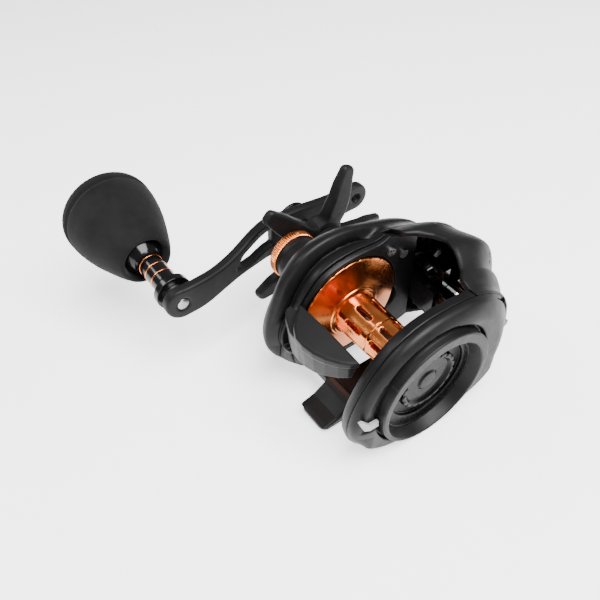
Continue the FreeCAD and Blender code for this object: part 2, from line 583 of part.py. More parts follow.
def make_drive():
    """Drive shaft with its gears, ratchet, drag stack, sleeve and springs."""
    turned("drive_shaft", "drive", [("-16.7", "0"), ("-16.7", "drive_radius"), ("-24.7", "drive_radius"),
                                    ("-24.7", "7"), ("-25.9", "7"), ("-25.9", "drive_radius + 0.5"),
                                    ("-57", "drive_radius + 0.5"), ("-57", "2.88"), ("-60.6", "2.88"),
                                    ("-60.6", "2.4"), ("-63.6", "2.4"), ("-63.6", "0")])
    wheel = gear("drive_gear", "drive", "-28.6", "2.6", "main_teeth", "main_module", "drive_radius + 0.55",
                 towards("drive", "spool"))
    recess = new_sketch(wheel, "YZ_Plane", [("0", "0", "9.6")])
    cut = wheel.newObject("PartDesign::Pocket", "DragRecess")
    cut.Profile = recess
    cut.Reversed = True
    cut.Length = 1.4
    gear("guide_drive_gear", "drive", "-21.8", "1.6", "guide_drive_teeth", "guide_module", "drive_radius + fit",
         towards("drive", "worm"))
    ratchet = slab("ratchet_wheel", "drive", "-24.3", "0.9", ("0", "0", "8.6"),
                   ("0", "0", "drive_radius + fit"))
    pocket_ring(ratchet, 10, "0.9", [("-1.1", "7"), ("1.6", "7"), ("1.6", "9"), ("-1.1", "9")])
    carbon = [sleeve(None, "drive", start, f"{start} + 0.55", "9.3", "3.1") for start in ("-27.8", "-28.95")]
    joined("drag_washers", "Group", *carbon)
    metal = [sleeve(None, "drive", "-28.35", "-27.85", "9.1", "3.1"),
             sleeve(None, "drive", "-30.2", "-29", "9.4", "3.1")]
    joined("drag_plates", "Group", *metal)
    sleeve("anti_reverse_sleeve", "drive", "-44.4", "-30.25", "4", "3.06")
    bearing("one_way_bearing", "drive", "-39.5", "5.5", "4.05", "5.85")
    bearing("drive_shaft_bearing", "drive", "-18.4", "1.8", "2.55", "4.95")
    springs = [turned(None, "drive", [("-45.3", "3.1"), ("-45", "3.1"), (near, "5.6"), (far, "5.6")])
               for near, far in (("-44.5", "-44.8"), ("-45.5", "-45.8"))]
    joined("spring_washers", "Group", springs[0], springs[1])


def make_star():
    """Five-armed star wheel on the drive shaft's thread."""
    star = slab("star_drag", "drive", "-52", "5.8", ("0", "0", "star_hub"), ("0", "0", "drive_radius + 0.56"),
                turn=-8.2)
    sketch = new_sketch(star, "YZ_Plane", [[("5", "-3.6"), ("star_radius - 3", "-3.1"), ("star_radius", "-1.4"),
                                            ("star_radius", "1.4"), ("star_radius - 3", "3.1"), ("5", "3.6")]])
    sketch.AttachmentOffset = FreeCAD.Placement(FreeCAD.Vector(0, 0, 1), FreeCAD.Rotation())
    arm = star.newObject("PartDesign::Pad", "Arm")
    arm.Profile = sketch
    arm.setExpression("Length", bound("star_thickness"))
    ring = star.newObject("PartDesign::PolarPattern", "Arms")
    ring.Originals = [arm]
    ring.Axis = (origin_axis(star), [""])
    ring.Angle = 360
    ring.Occurrences = 5
    star.Tip = ring


def make_knob():
    """Round foam grip on a slim neck, with its rings, bearings, shaft, screw and cap."""
    turned("knob_shaft", "knob", [("-46.5", "0"), ("-46.5", "2.2"), ("-47", "2.2"), ("-47", "2"), ("-50.65", "2"),
                                  ("-50.65", "3.6"), ("-52.3", "3.6"), ("-52.3", "2"), ("-90", "2"), ("-90", "1.05"),
                                  ("-84", "1.05"), ("-84", "0")])
    grooves = []
    for index in range(3):
        near = f"-neck_ring_x - {index} * neck_ring_pitch"
        far = f"{near} - 0.6"
        grooves += [(near, "neck_radius"), (near, "3.8"), (far, "3.8"), (far, "neck_radius")]
    flare = [("-69.6", "neck_radius"), ("-70.8", "4.5"), ("-72.3", "5.8"), ("-73", "6.5"), ("-74.3", "6.5"),
             ("-74.3", "2.9")]
    turned("knob_neck", "knob", [("-52.4", "2.9"), ("-52.4", "collar_radius"), ("-54.9", "collar_radius"),
                                 ("-55.3", "neck_radius")] + grooves + flare)
    rings = [sleeve(None, "knob", f"-neck_ring_x - {index} * neck_ring_pitch - 0.58",
                    f"-neck_ring_x - {index} * neck_ring_pitch - 0.02", "4.12", "3.82") for index in range(3)]
    joined("neck_rings", "Group", *rings)
    bearings = [sleeve(None, "knob", start, f"{start} + 3", "2.86", "2.04") for start in ("-56", "-89")]
    joined("knob_bearings", "Group", *bearings)
    mouth = [("-74.4", "2.92"), ("-74.4", "6.9"), ("-72.6", "7.2"), ("-knob_mouth_x", "7.8")]
    side = [("-71.4", "8.8"), ("-74.4", "10.3"), ("-78.4", "11.8"), ("-82.4", "13.2"), ("-86.4", "14.5"),
            ("-90.4", "15.5"), ("-94.4", "16.2"), ("-96.6", "16.4")]
    rim = [("-97.3", "15.9"), ("-98", "15.9"), ("-98.8", "knob_radius"), ("-101.2", "knob_radius - 0.2"),
           ("-103.2", "15.2"), ("-knob_end_x", "12.6"), ("-knob_end_x", "5.3")]
    turned("knob_grip", "knob", mouth + side + rim + [("-89.2", "5.3"), ("-89.2", "2.92")])
    turned("knob_screw", "knob", [("-84.4", "0"), ("-84.4", "1"), ("-90.05", "1"), ("-90.05", "3.2"),
                                  ("-91.6", "3.2"), ("-91.6", "0")])
    turned("knob_cap", "knob", [("-101.6", "0"), ("-101.6", "5.2"), ("-104.2", "5.2"), ("-104.6", "4.4"),
                                ("-104.6", "0")])


def make_controls():
    """Tension cap, brake dial with its magnets, release lever, handle nut and retainer."""
    turned("tension_cap", "spool", [("-cap_from", "boss_radius + 0.06"), ("-cap_from", "cap_radius"),
                                    ("-cap_face", "cap_radius"), ("-cap_face", "0"), ("-41.35", "0"), ("-41.35", "3"),
                                    ("-43.2", "3"), ("-43.2", "boss_radius + 0.06")])
    ring = slab("tension_ring", "spool", "-cap_face", "cap_face - cap_ring_from", ("0", "0", "cap_ring_radius"),
                ("0", "0", "cap_radius + 0.02"))
    pocket_ring(ring, 48, "cap_face - cap_ring_from", [("-0.2", "cap_ring_radius - 0.3"),
                                                       ("0.2", "cap_ring_radius - 0.3"),
                                                       ("0.2", "cap_ring_radius + 0.3"),
                                                       ("-0.2", "cap_ring_radius + 0.3")])
    sleeve("tension_shim", "spool", "-41.3", "-40.4", "2.9")
    bearing("handle_spool_bearing", "spool", "-40", "2.4", "1.15", "3.6")
    bearing("pinion_bearing", "spool", "-34.9", "1.8", "1.55", "3.6")
    bearing("palm_spool_bearing", "spool", "14.7", "2.5", "1.33", "3.5")
    turned("brake_dial", "spool", [("17.4", "0"), ("17.4", "2.6"), ("18.95", "2.6"), ("18.95", "9.6"),
                                   ("20.4", "9.6"), ("20.4", "7.6"), ("19.7", "7.2"), ("19.7", "0")])
    holder = slab("magnet_ring", "spool", "15.6", "1.8", ("0", "0", "8.9"), ("0", "0", "4.66"))
    pocket_ring(holder, 8, "1.0", ("0", "6.75", "1.42"))
    magnets = []
    for index in range(8):
        angle = 2 * math.pi * index / 8
        magnets.append(rod(15.6, 16.56, 1.4, 6.75 * math.sin(angle), 6.75 * math.cos(angle)))
    shaped("brake_magnets", Part.makeCompound(magnets))
    sector = rod(19.95, 22.4, 21.05).cut(rod(19, 23, 19.05))
    wedge = prism([(0, 0), (-40, 1.0), (-40, -19.0)], 19, 23)
    shaped("release_lever", sector.common(wedge))
    hexagon = [(f"5.2 * {u}", f"5.2 * {v}") for u, v in HEXAGON]
    nut = slab(None, "drive", "-63", "2.35", hexagon, ("0", "0", "2.44"))
    keep(nut, "handle_nut")
    turned("nut_retainer", "drive", [("-63.7", "0"), ("-63.7", "2.45"), ("-63.1", "2.45"), ("-63.1", "6.2"),
                                     ("-64.2", "6.2"), ("-64.9", "5"), ("-64.9", "0")])


def make_worm():
    """Worm shaft inside the guide tube, its gear and its two bushings."""
    turned("worm_shaft", "worm", [("-21.9", "0"), ("17.4", "0"), ("17.4", "1.5"), ("14.2", "1.5"),
                                  ("14.2", "worm_radius"), ("-14.2", "worm_radius"), ("-14.2", "1.5"), ("-21.9", "1.5")])
    gear("guide_driven_gear", "worm", "-21.8", "1.6", "guide_driven_teeth", "guide_module", "1.52",
         towards("worm", "drive") + 180 / size("guide_driven_teeth"))
    bushings = [sleeve(None, "worm", start, f"{start} + 2.6", "2.83", "1.55") for start in ("-18.2", "14.9")]
    joined("worm_bushings", "Group", *bushings)
    sleeve("guide_bar", "bar", "-18.4", "17.9", "bar_radius")


def check_document():
    """Stop if any object failed or any sub-part is empty or invalid."""
    DOC.recompute()
    for item in DOC.Objects:
        if {"Invalid", "Error"} & set(item.State):
            raise RuntimeError(f"{item.Name} ({item.Label}) failed: {item.State}")
    for part in PARTS:
        if part.Shape.isNull() or not part.Shape.isValid() or not part.Shape.Solids:
            raise RuntimeError(f"{part.Label} has no valid solid")


def export_parts():
    os.makedirs("parts", exist_ok=True)
    for part in PARTS:
        part.Shape.exportStep(f"parts/{part.Label}.step")


fill_sheet()
PARTS_PROBE = DOC.addObject("App::FeaturePython", "Probe")
for build in (make_frame, make_hood, make_handle_cover, make_palm_plate, make_foot, make_foot_rivets,
              make_cover_screws, make_set_plate, make_clutch, make_thumb_bar, make_line_guide,
              make_handle_arm, make_spool, make_pinion, make_drive, make_star, make_knob, make_controls,
              make_worm):
    build()
check_document()
export_parts()
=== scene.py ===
"""Looks of a low-profile baitcasting reel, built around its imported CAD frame.

Shapes are worked out in millimetres about the spool's axis: x to the palm side, y to the rod tip,
z up. Organic shells are level surfaces of distance fields, turned parts are lathed profiles, and
both are moved into the row frame (metres) at the end.
"""

import json
import math

import bmesh
import bpy
import numpy as np
from mathutils import Matrix, Vector


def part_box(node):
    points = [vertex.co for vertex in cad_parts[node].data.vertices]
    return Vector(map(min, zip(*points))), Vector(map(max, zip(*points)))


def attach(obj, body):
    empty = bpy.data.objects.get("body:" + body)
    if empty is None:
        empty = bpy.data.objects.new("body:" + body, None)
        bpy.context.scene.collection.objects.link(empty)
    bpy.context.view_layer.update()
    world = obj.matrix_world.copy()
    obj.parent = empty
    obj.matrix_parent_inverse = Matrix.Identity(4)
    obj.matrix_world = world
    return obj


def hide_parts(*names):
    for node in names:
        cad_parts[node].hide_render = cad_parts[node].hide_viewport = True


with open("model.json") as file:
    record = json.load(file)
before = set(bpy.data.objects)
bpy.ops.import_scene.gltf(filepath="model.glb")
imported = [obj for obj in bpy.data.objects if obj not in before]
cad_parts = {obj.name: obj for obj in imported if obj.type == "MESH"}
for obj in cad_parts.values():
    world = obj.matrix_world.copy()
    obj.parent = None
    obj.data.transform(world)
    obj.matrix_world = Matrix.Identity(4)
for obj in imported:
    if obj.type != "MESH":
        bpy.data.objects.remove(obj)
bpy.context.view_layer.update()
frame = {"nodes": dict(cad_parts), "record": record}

MM = 0.001


def centre_of(node):
    """Middle of a CAD node's box, in metres."""
    low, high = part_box(node)
    return (low + high) / 2


ORIGIN = Vector((0, centre_of("spool_shaft").y, centre_of("spool_shaft").z))


def axis_of(node):
    """(y, z) of a node's axis from the spool's axis, in mm."""
    middle = (centre_of(node) - ORIGIN) / MM
    return middle.y, middle.z


DRIVE = axis_of("drive_shaft_bearing")
WORM = axis_of("worm_bushings")
BAR = axis_of("guide_bar")
KNOB = axis_of("knob_bearings")
SPOOL = (0.0, 0.0)

# ------------------------------------------------------------------ distance-field tools (mm)


def smax(a, b, k):
    """Larger of two fields, with an edge rounded over about k."""
    h = np.clip(0.5 + 0.5 * (a - b) / k, 0, 1)
    return b + (a - b) * h + k * h * (1 - h)


def smin(a, b, k):
    """Smaller of two fields, with a fillet of about k."""
    return -smax(-a, -b, k)


def ease(t):
    """0 to 1 with flat ends."""
    t = np.clip(t, 0, 1)
    return t * t * (3 - 2 * t)


def tube(x, y, z, axis, radius):
    """Outside a cylinder along x."""
    return np.hypot(y - axis[0], z - axis[1]) - radius


def between(value, low, high):
    """Outside a slab between two values of a coordinate."""
    return np.maximum(low - value, value - high)


def rod(x, y, z, axis, radius, low, high, k=0.3):
    """Outside a solid rod along x with rounded ends."""
    return smax(tube(x, y, z, axis, radius), between(x, low, high), k)


def bores(x, y, z, rows):
    """Outside several rods along x, each given as (axis, radius, low, high)."""
    return np.minimum.reduce([rod(x, y, z, *row, 0.1) for row in rows])


def capsule(x, y, z, start, end, radius):
    """Outside a rod with round ends between two points."""
    line = np.subtract(end, start)
    u, v, w = x - start[0], y - start[1], z - start[2]
    share = np.clip((u * line[0] + v * line[1] + w * line[2]) / line.dot(line), 0, 1)
    return np.sqrt((u - share * line[0]) ** 2 + (v - share * line[1]) ** 2 + (w - share * line[2]) ** 2) - radius


def polygon(u, v, corners):
    """Signed distance to a closed outline of straight edges."""
    nearest = np.full(np.shape(u), 1e9)
    inside = np.zeros(np.shape(u), bool)
    count = len(corners)
    for index in range(count):
        (au, av), (bu, bv) = corners[index], corners[(index + 1) % count]
        eu, ev = bu - au, bv - av
        share = np.clip(((u - au) * eu + (v - av) * ev) / (eu * eu + ev * ev), 0, 1)
        nearest = np.minimum(nearest, np.hypot(u - au - share * eu, v - av - share * ev))
        crosses = (av > v) != (bv > v)
        if av != bv:
            inside ^= crosses & (u < au + (v - av) / (bv - av) * eu)
    return np.where(inside, -nearest, nearest)


def track(points, samples=400):
    """A smooth curve through (place, value) points, as a function that holds its end values."""
    places, values = np.array(points, float).T
    count = len(places)
    step = np.diff(places)
    system, right = np.eye(count), np.zeros(count)
    for i in range(1, count - 1):
        system[i, i - 1:i + 2] = step[i - 1], 2 * (step[i - 1] + step[i]), step[i]
        right[i] = 6 * ((values[i + 1] - values[i]) / step[i] - (values[i] - values[i - 1]) / step[i - 1])
    bend = np.linalg.solve(system, right)
    fine = np.linspace(places[0], places[-1], samples)
    i = np.clip(np.searchsorted(places, fine) - 1, 0, count - 2)
    t = (fine - places[i]) / step[i]
    curve = ((1 - t) * values[i] + t * values[i + 1]
             + (((1 - t) ** 3 - (1 - t)) * bend[i] + (t ** 3 - t) * bend[i + 1]) * step[i] ** 2 / 6)
    return lambda x: np.interp(x, fine, curve)


def crossing_cells(value):
    """Grid cells that a field's zero level crosses, and the mean of its crossings in each cell."""
    shape = np.array(value.shape) - 1
    corners = [(i, j, k) for i in (0, 1) for j in (0, 1) for k in (0, 1)]
    inside = value < 0
    full = sum(inside[i:i + shape[0], j:j + shape[1], k:k + shape[2]].astype(np.int8) for i, j, k in corners)
    cell = np.argwhere((full > 0) & (full < len(corners)))
    at = {corner: value[tuple((cell + corner).T)] for corner in corners}
    total, hits = np.zeros((len(cell), 3)), np.zeros(len(cell))
    for a in corners:
        for axis in range(3):
            if a[axis] == 0:
                b = tuple(1 if n == axis else a[n] for n in range(3))
                cross = (at[a] < 0) != (at[b] < 0)
                share = np.where(cross, at[a] / np.where(cross, at[a] - at[b], 1), 0)
                total += (np.array(a, float) + share[:, None] * (np.array(b) - a)) * cross[:, None]
                hits += cross
    return cell, cell + total / hits[:, None]


def crossing_quads(value, cell):
    """One quad of cell numbers round every grid edge that the zero level crosses, turned outward."""
    inside = value < 0
    number = np.full(np.array(value.shape) - 1, -1, np.int64)
    number[tuple(cell.T)] = np.arange(len(cell))
    quads = []
    for axis in range(3):
        u, v = (axis + 1) % 3, (axis + 2) % 3
        near = [slice(1, -1)] * 3
        near[axis] = slice(0, -1)
        far = list(near)
        far[axis] = slice(1, None)
        starts, ends = inside[tuple(near)], inside[tuple(far)]
        edge = np.argwhere(starts != ends)
        leaving = starts[tuple(edge.T)]
        edge += [0 if n == axis else 1 for n in range(3)]
        ring = []
        for du, dv in ((1, 1), (0, 1), (0, 0), (1, 0)):
            where = edge.copy()
            where[:, u] -= du
            where[:, v] -= dv
            ring.append(number[tuple(where.T)])
        ring = np.stack(ring, 1)
        ring[~leaving] = ring[~leaving][:, ::-1]
        quads.append(ring)
    return np.concatenate(quads)


def surface_net(field, low, high, step):
    """Vertices, quads and normals of a field's zero level inside a box."""
    axes = [np.arange(a - step, b + 2 * step, step) for a, b in zip(low, high)]
    value = field(*np.meshgrid(*axes, indexing="ij"))
    cell, places = crossing_cells(value)
    quads = crossing_quads(value, cell)
    points = places * step + [a[0] for a in axes]
    probe = step * 0.2
    for _ in range(4):
        here, slope = field_slope(field, points, probe)
        move = -here[:, None] * slope / np.maximum((slope ** 2).sum(1), 1e-6)[:, None]
        length = np.maximum(np.linalg.norm(move, axis=1), 1e-12)
        points = points + move * np.minimum(1, 0.5 * step / length)[:, None]
    slope = field_slope(field, points, probe)[1]
    normals = slope / np.maximum(np.linalg.norm(slope, axis=1), 1e-9)[:, None]
    return points, quads, normals


def field_slope(field, points, h):
    """A field's value and gradient at points."""
    shifts = h * np.eye(3)
    slope = [field(*(points + shift).T) - field(*(points - shift).T) for shift in shifts]
    return field(*points.T), np.stack(slope, 1) / (2 * h)


# ------------------------------------------------------------------ from shapes to pieces


def piece(name, points, faces, body, material, replaces=(), normals=None, axis=SPOOL):
    """A mesh object from mm points about an axis, riding on a body and standing for CAD nodes."""
    mesh = bpy.data.meshes.new(name)
    moved = np.asarray(points, float) * MM + [0, ORIGIN.y + axis[0] * MM, ORIGIN.z + axis[1] * MM]
    mesh.from_pydata(moved.tolist(), [], [list(map(int, f)) for f in faces])
    mesh.update()
    mesh.shade_smooth()
    if normals is not None:
        mesh.normals_split_custom_set_from_vertices(np.asarray(normals).tolist())
    thing = bpy.data.objects.new(name, mesh)
    bpy.context.scene.collection.objects.link(thing)
    mesh.materials.append(material)
    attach(thing, body)
    if replaces:
        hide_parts(*replaces)
    return thing


def moulded(name, field, low, high, step, body, material, replaces=()):
    """A piece whose surface is a field's zero level."""
    points, quads, normals = surface_net(field, low, high, step)
    return piece(name, points, quads, body, material, replaces, normals)


def rounded(profile, radius, steps=4):
    """A closed outline with each corner that is off the axis turned into a short arc."""
    points = []
    count = len(profile)
    for index, (x, r) in enumerate(profile):
        before, here, after = (np.array(profile[(index + n) % count], float) for n in (-1, 0, 1))
        if r <= 0:
            points.append((x, 0.0))
            continue
        back, on = before - here, after - here
        back_length, on_length = np.linalg.norm(back), np.linalg.norm(on)
        reach = min(radius, 0.45 * back_length, 0.45 * on_length)
        start, end = here + back / back_length * reach, here + on / on_length * reach
        for t in np.linspace(0, 1, steps):
            points.append(tuple((1 - t) ** 2 * start + 2 * t * (1 - t) * here + t * t * end))
    return points


def lathed(profile, radius=0.2, segments=128, wave=None):
    """Points and faces of a closed (x, r) outline turned about x; wave(x, r, angle) changes r."""
    points, rings = [], []
    for x, r in rounded(profile, radius):
        if r <= 1e-9:
            rings.append([len(points)])
            points.append((x, 0.0, 0.0))
            continue
        ring = []
        for n in range(segments):
            angle = 2 * math.pi * n / segments
            out = r if wave is None else wave(x, r, angle)
            ring.append(len(points))
            points.append((x, out * math.cos(angle), out * math.sin(angle)))
        rings.append(ring)
    faces = []
    for a, b in zip(rings, rings[1:] + rings[:1]):
        for n in range(segments):
            m = (n + 1) % segments
            if len(a) > 1 and len(b) > 1:
                faces.append((a[n], a[m], b[m], b[n]))
            elif len(a) > 1:
                faces.append((a[n], a[m], b[0]))
            elif len(b) > 1:
                faces.append((a[0], b[m], b[n]))
    return points, faces


def turned(name, profiles, body, material, replaces=(), axis=SPOOL, radius=0.2, segments=128, wave=None):
    """A piece made of one or more lathed outlines, with flat faces kept flat."""
    points, faces = [], []
    for profile in profiles:
        more, quads = lathed(profile, radius, segments, wave)
        faces += [tuple(i + len(points) for i in quad) for quad in quads]
        points += more
    thing = piece(name, points, faces, body, material, replaces, axis=axis)
    outward(thing)
    thing.modifiers.new("FaceNormals", "WEIGHTED_NORMAL").keep_sharp = True
    return thing


def outward(thing):
    """Turn each closed shell's faces outward."""
    work = bmesh.new()
    work.from_mesh(thing.data)
    bmesh.ops.recalc_face_normals(work, faces=work.faces)
    work.to_mesh(thing.data)
    work.free()


def second_material(thing, material, chosen):
    """Give a second material to the faces whose centre (mm from the spool's axis) and normal are chosen."""
    thing.data.materials.append(material)
    for face in thing.data.polygons:
        if chosen((face.center - ORIGIN) / MM, face.normal):
            face.material_index = 1


# ------------------------------------------------------------------ materials


def shader(name, colour, roughness, metallic=0.0, coat=0.0, sheen=0.0, specular=0.5):
    """A new material with its Principled shader's constants set; returns (material, nodes, links, bsdf)."""
    material = bpy.data.materials.new(name)
    material.use_nodes = True
    nodes, links = material.node_tree.nodes, material.node_tree.links
    bsdf = nodes["Principled BSDF"]
    bsdf.inputs["Base Color"].default_value = (*colour, 1)
    bsdf.inputs["Roughness"].default_value = roughness
    bsdf.inputs["Metallic"].default_value = metallic
    bsdf.inputs["Coat Weight"].default_value = coat
    bsdf.inputs["Coat Roughness"].default_value = 0.08
    bsdf.inputs["Sheen Weight"].default_value = sheen
    bsdf.inputs["Specular IOR Level"].default_value = specular
    material.diffuse_color = (*colour, 1)
    return material, nodes, links, bsdf


def noise(nodes, links, scale, detail=3.0, stretch=None):
    """A noise texture in the row frame's metres; stretch scales its three axes."""
    place = nodes.new("ShaderNodeTexCoord")
    texture = nodes.new("ShaderNodeTexNoise")
    texture.inputs["Scale"].default_value = scale
    texture.inputs["Detail"].default_value = detail
    if stretch:
        mapping = nodes.new("ShaderNodeMapping")
        mapping.inputs["Scale"].default_value = stretch
        links.new(place.outputs["Object"], mapping.inputs["Vector"])
        links.new(mapping.outputs["Vector"], texture.inputs["Vector"])
    else:
        links.new(place.outputs["Object"], texture.inputs["Vector"])
    return texture


def vary(nodes, links, source, low, high, target):
    """Drive a socket between two numbers by a texture's factor."""
    span = nodes.new("ShaderNodeMapRange")
    span.inputs["From Min"].default_value = 0.3
    span.inputs["From Max"].default_value = 0.7
    span.inputs["To Min"].default_value = low
    span.inputs["To Max"].default_value = high
    links.new(source.outputs[0], span.inputs["Value"])
    links.new(span.outputs["Result"], target)


def tint(nodes, links, source, dark, light, target):
    """Drive a colour socket between two colours by a texture's factor."""
    ramp = nodes.new("ShaderNodeValToRGB")
    ramp.color_ramp.elements[0].position = 0.3
    ramp.color_ramp.elements[1].position = 0.7
    ramp.color_ramp.elements[0].color = (*dark, 1)
    ramp.color_ramp.elements[1].color = (*light, 1)
    links.new(source.outputs[0], ramp.inputs["Fac"])
    links.new(ramp.outputs["Color"], target)


def bump(nodes, links, source, strength, distance, bsdf):
    """Relief from a texture's factor."""
    relief = nodes.new("ShaderNodeBump")
    relief.inputs["Strength"].default_value = strength
    relief.inputs["Distance"].default_value = distance
    links.new(source.outputs[0], relief.inputs["Height"])
    links.new(relief.outputs["Normal"], bsdf.inputs["Normal"])


def coated(name, dark, light, rough, grain, strength, metallic=0.0, coat=0.0, sheen=0.0, specular=0.5,
           stretch=None):
    """A finish with a faint cloudy tint, varied roughness and a fine grain of the given scale."""
    material, nodes, links, bsdf = shader(name, light, rough[0], metallic, coat, sheen, specular)
    clouds = noise(nodes, links, 90, 2.0)
    tint(nodes, links, clouds, dark, light, bsdf.inputs["Base Color"])
    patches = noise(nodes, links, 350, 3.0)
    vary(nodes, links, patches, rough[0], rough[1], bsdf.inputs["Roughness"])
    fine = noise(nodes, links, grain, 2.0, stretch)
    bump(nodes, links, fine, strength, 0.0001, bsdf)
    return material


def anodised(name, dark, light, rough, lines):
    """Anodised metal with faint turning marks across its axis."""
    return coated(name, dark, light, rough, lines, 0.12, metallic=1.0, stretch=(1.0, 0.04, 0.04))


FRAME_BLACK = coated("satin_frame", (0.0026, 0.0026, 0.0029), (0.0040, 0.0040, 0.0043), (0.36, 0.44), 7000, 0.10,
                     specular=0.16)
COVER_BLACK = coated("satin_cover", (0.0030, 0.0030, 0.0033), (0.0046, 0.0046, 0.0049), (0.40, 0.48), 6000, 0.16,
                     specular=0.17)
GLOSS_BLACK = coated("gloss_black", (0.0018, 0.0018, 0.0021), (0.0028, 0.0028, 0.0031), (0.12, 0.18), 2500, 0.03,
                     specular=0.3)
# painted shade: a darker black that reflects far less than the cover, put on the dish's recess and the brake dial to
# stand in for the shade in that deep recess
RECESS_PAINTED_SHADE = coated("recess_painted_shade", (0.0014, 0.0014, 0.0016), (0.0022, 0.0022, 0.0024), (0.22, 0.30), 2500, 0.03,
                   specular=0.06)
ARM_BLACK = coated("blasted_black", (0.0034, 0.0034, 0.0037), (0.0050, 0.0050, 0.0053), (0.44, 0.52), 9000, 0.22,
                   specular=0.14)
PAD_BLACK = coated("stippled_pad", (0.0038, 0.0038, 0.0041), (0.0056, 0.0056, 0.0059), (0.6, 0.7), 3200, 0.45,
                   specular=0.16)
FOAM_BLACK = coated("closed_cell_foam", (0.0030, 0.0030, 0.0032), (0.0068, 0.0068, 0.0071), (0.88, 0.96), 3600, 0.7,
                    sheen=0.03, specular=0.12)
ORANGE = anodised("anodised_orange", (0.66, 0.185, 0.045), (0.80, 0.26, 0.075), (0.17, 0.25), 5000)
STEEL = anodised("turned_steel", (0.26, 0.26, 0.27), (0.36, 0.36, 0.37), (0.24, 0.34), 6000)
BRASS = anodised("machined_brass", (0.50, 0.32, 0.12), (0.60, 0.40, 0.17), (0.28, 0.38), 6000)
ALLOY = anodised("machined_alloy", (0.34, 0.35, 0.36), (0.44, 0.45, 0.46), (0.32, 0.42), 6000)
CARBON = coated("carbon_disc", (0.008, 0.008, 0.009), (0.02, 0.02, 0.022), (0.5, 0.7), 3000, 0.5)
CERAMIC = coated("polished_ceramic", (0.004, 0.004, 0.005), (0.008, 0.008, 0.009), (0.05, 0.1), 2000, 0.02, coat=0.6)
LEVER_GREY = coated("lever_grey", (0.22, 0.22, 0.23), (0.28, 0.28, 0.29), (0.4, 0.5), 5000, 0.12)
FINISH = {"frame_black": FRAME_BLACK, "cover_black": COVER_BLACK, "trim_black": GLOSS_BLACK,
          "anodised_orange": ORANGE, "arm_black": ARM_BLACK, "foam_black": FOAM_BLACK, "steel": STEEL,
          "brass": BRASS, "carbon": CARBON, "alloy": ALLOY, "ceramic": CERAMIC, "lever_grey": LEVER_GREY}
for part in frame["record"]["subparts"]:
    node = frame["nodes"][part["node"]]
    node.data.materials.clear()
    node.data.materials.append(FINISH[part["material_slot"]])

# ------------------------------------------------------------------ the body's outline
# side outlines as (y, z), each at its place along x, from the rear over the top to the front
OUTLINE_CENTRE = 7.0
STATIONS = {
    -23.0: ((-24.6, -5), (-21.6, 4.2), (-17.7, 12.2), (-12.5, 18.4), (-4, 21.6), (6, 21.2), (17.7, 18),
            (28.2, 13.9), (35.6, 8), (38.4, 0), (36, -10), (27.4, -17.6), (14, -20.8), (-4, -21.2),
            (-16, -20.2), (-22.3, -14.5)),
    -10.0: ((-25, -5), (-22, 4.5), (-17.5, 12.8), (-11.5, 19), (-3, 22), (8, 23), (21, 22.2), (31, 19.8),
            (38, 13.6), (41, 2.5), (39, -9), (31, -17), (14, -20.8), (-4, -20.4), (-13.6, -17.8), (-20.6, -11.6)),
    1.0: ((-25, -5), (-22, 4.5), (-17.5, 12.8), (-11.5, 19), (-3, 22), (8, 23.4), (21, 23.2), (31.5, 21.4),
          (39, 15.6), (41.6, 3.6), (39, -8.5), (30.5, -17), (14, -20.8), (-4, -21.2), (-17, -19.8), (-23.5, -13.5)),
    9.0: ((-25.4, -5), (-22.4, 4.5), (-17.6, 13), (-11.4, 19.1), (-3, 22), (7.5, 22.6), (19, 21.6), (28.5, 18.2),
          (34.6, 11.6), (36.6, 2), (35, -8), (28, -16.2), (13.5, -20.2), (-4, -20.9), (-17, -19.5), (-24, -13.7)),
    16.0: ((-26.0, -5), (-23.6, 5), (-17.8, 13.8), (-11, 19.5), (-3, 22.2), (7, 22.4), (17, 20.8),
           (26, 16.5), (32.3, 9), (35, 0), (33, -9.5), (26.5, -16.5), (13, -19.8), (-4, -20.6),
           (-16.6, -18.6), (-23.8, -12.8)),
    20.0: ((-25.6, -4.5), (-23.1, 5), (-17.5, 13.6), (-11, 19.3), (-3, 22.1), (6, 22.2), (15, 20.9),
           (22.5, 16.8), (27.8, 9.5), (29.8, 0), (28.5, -9), (23.5, -15.5), (12, -19), (-4, -19.6),
           (-15.6, -17.2), (-22.4, -11.8)),
}


def radial(points):
    """An outline's radius about its centre, as a smooth periodic function of the angle."""
    y, z = np.array(points, float).T
    angle, radius = np.arctan2(z, y - OUTLINE_CENTRE), np.hypot(y - OUTLINE_CENTRE, z)
    order = np.argsort(angle)
    turn = 2 * math.pi
    wrapped = [(a + turn * n, r) for n in (-1, 0, 1) for a, r in zip(angle[order], radius[order])]
    return track(wrapped, 8000)


RADII = {place: radial(points) for place, points in STATIONS.items()}


def outline(x, y, z):
    """Outside the body's side outline, which changes along x."""
    angle = np.arctan2(z, y - OUTLINE_CENTRE)
    places = sorted(RADII)
    reach = RADII[places[0]](angle)
    for low, high in zip(places, places[1:]):
        share = ease((x - low) / (high - low))
        reach = reach + share * (RADII[high](angle) - RADII[low](angle))
    return np.hypot(y - OUTLINE_CENTRE, z) - reach


def under(z):
    """How much of an inset holds at a height: little on the underside."""
    return np.clip((z + 16.0) / 6.0, 0.12, 1.0)


def ahead(y, start=8.0, span=10.0):
    """0 beside the spool and 1 in front of it."""
    return ease((y - start) / span)


# window over the spool and the line guide, seen from above as (x, y)
WINDOW = ((-21.2, -40), (-21.2, 8), (-18.6, 10.4), (-16.0, 11.6), (-12.2, 16.4), (-9.6, 20.2), (-6.2, 23.0),
          (-2.6, 24.0), (0.6, 22.9), (4.4, 21.5), (7.6, 19.6), (10.4, 16.6), (12.6, 13.2), (13.7, 10), (13.7, -40))
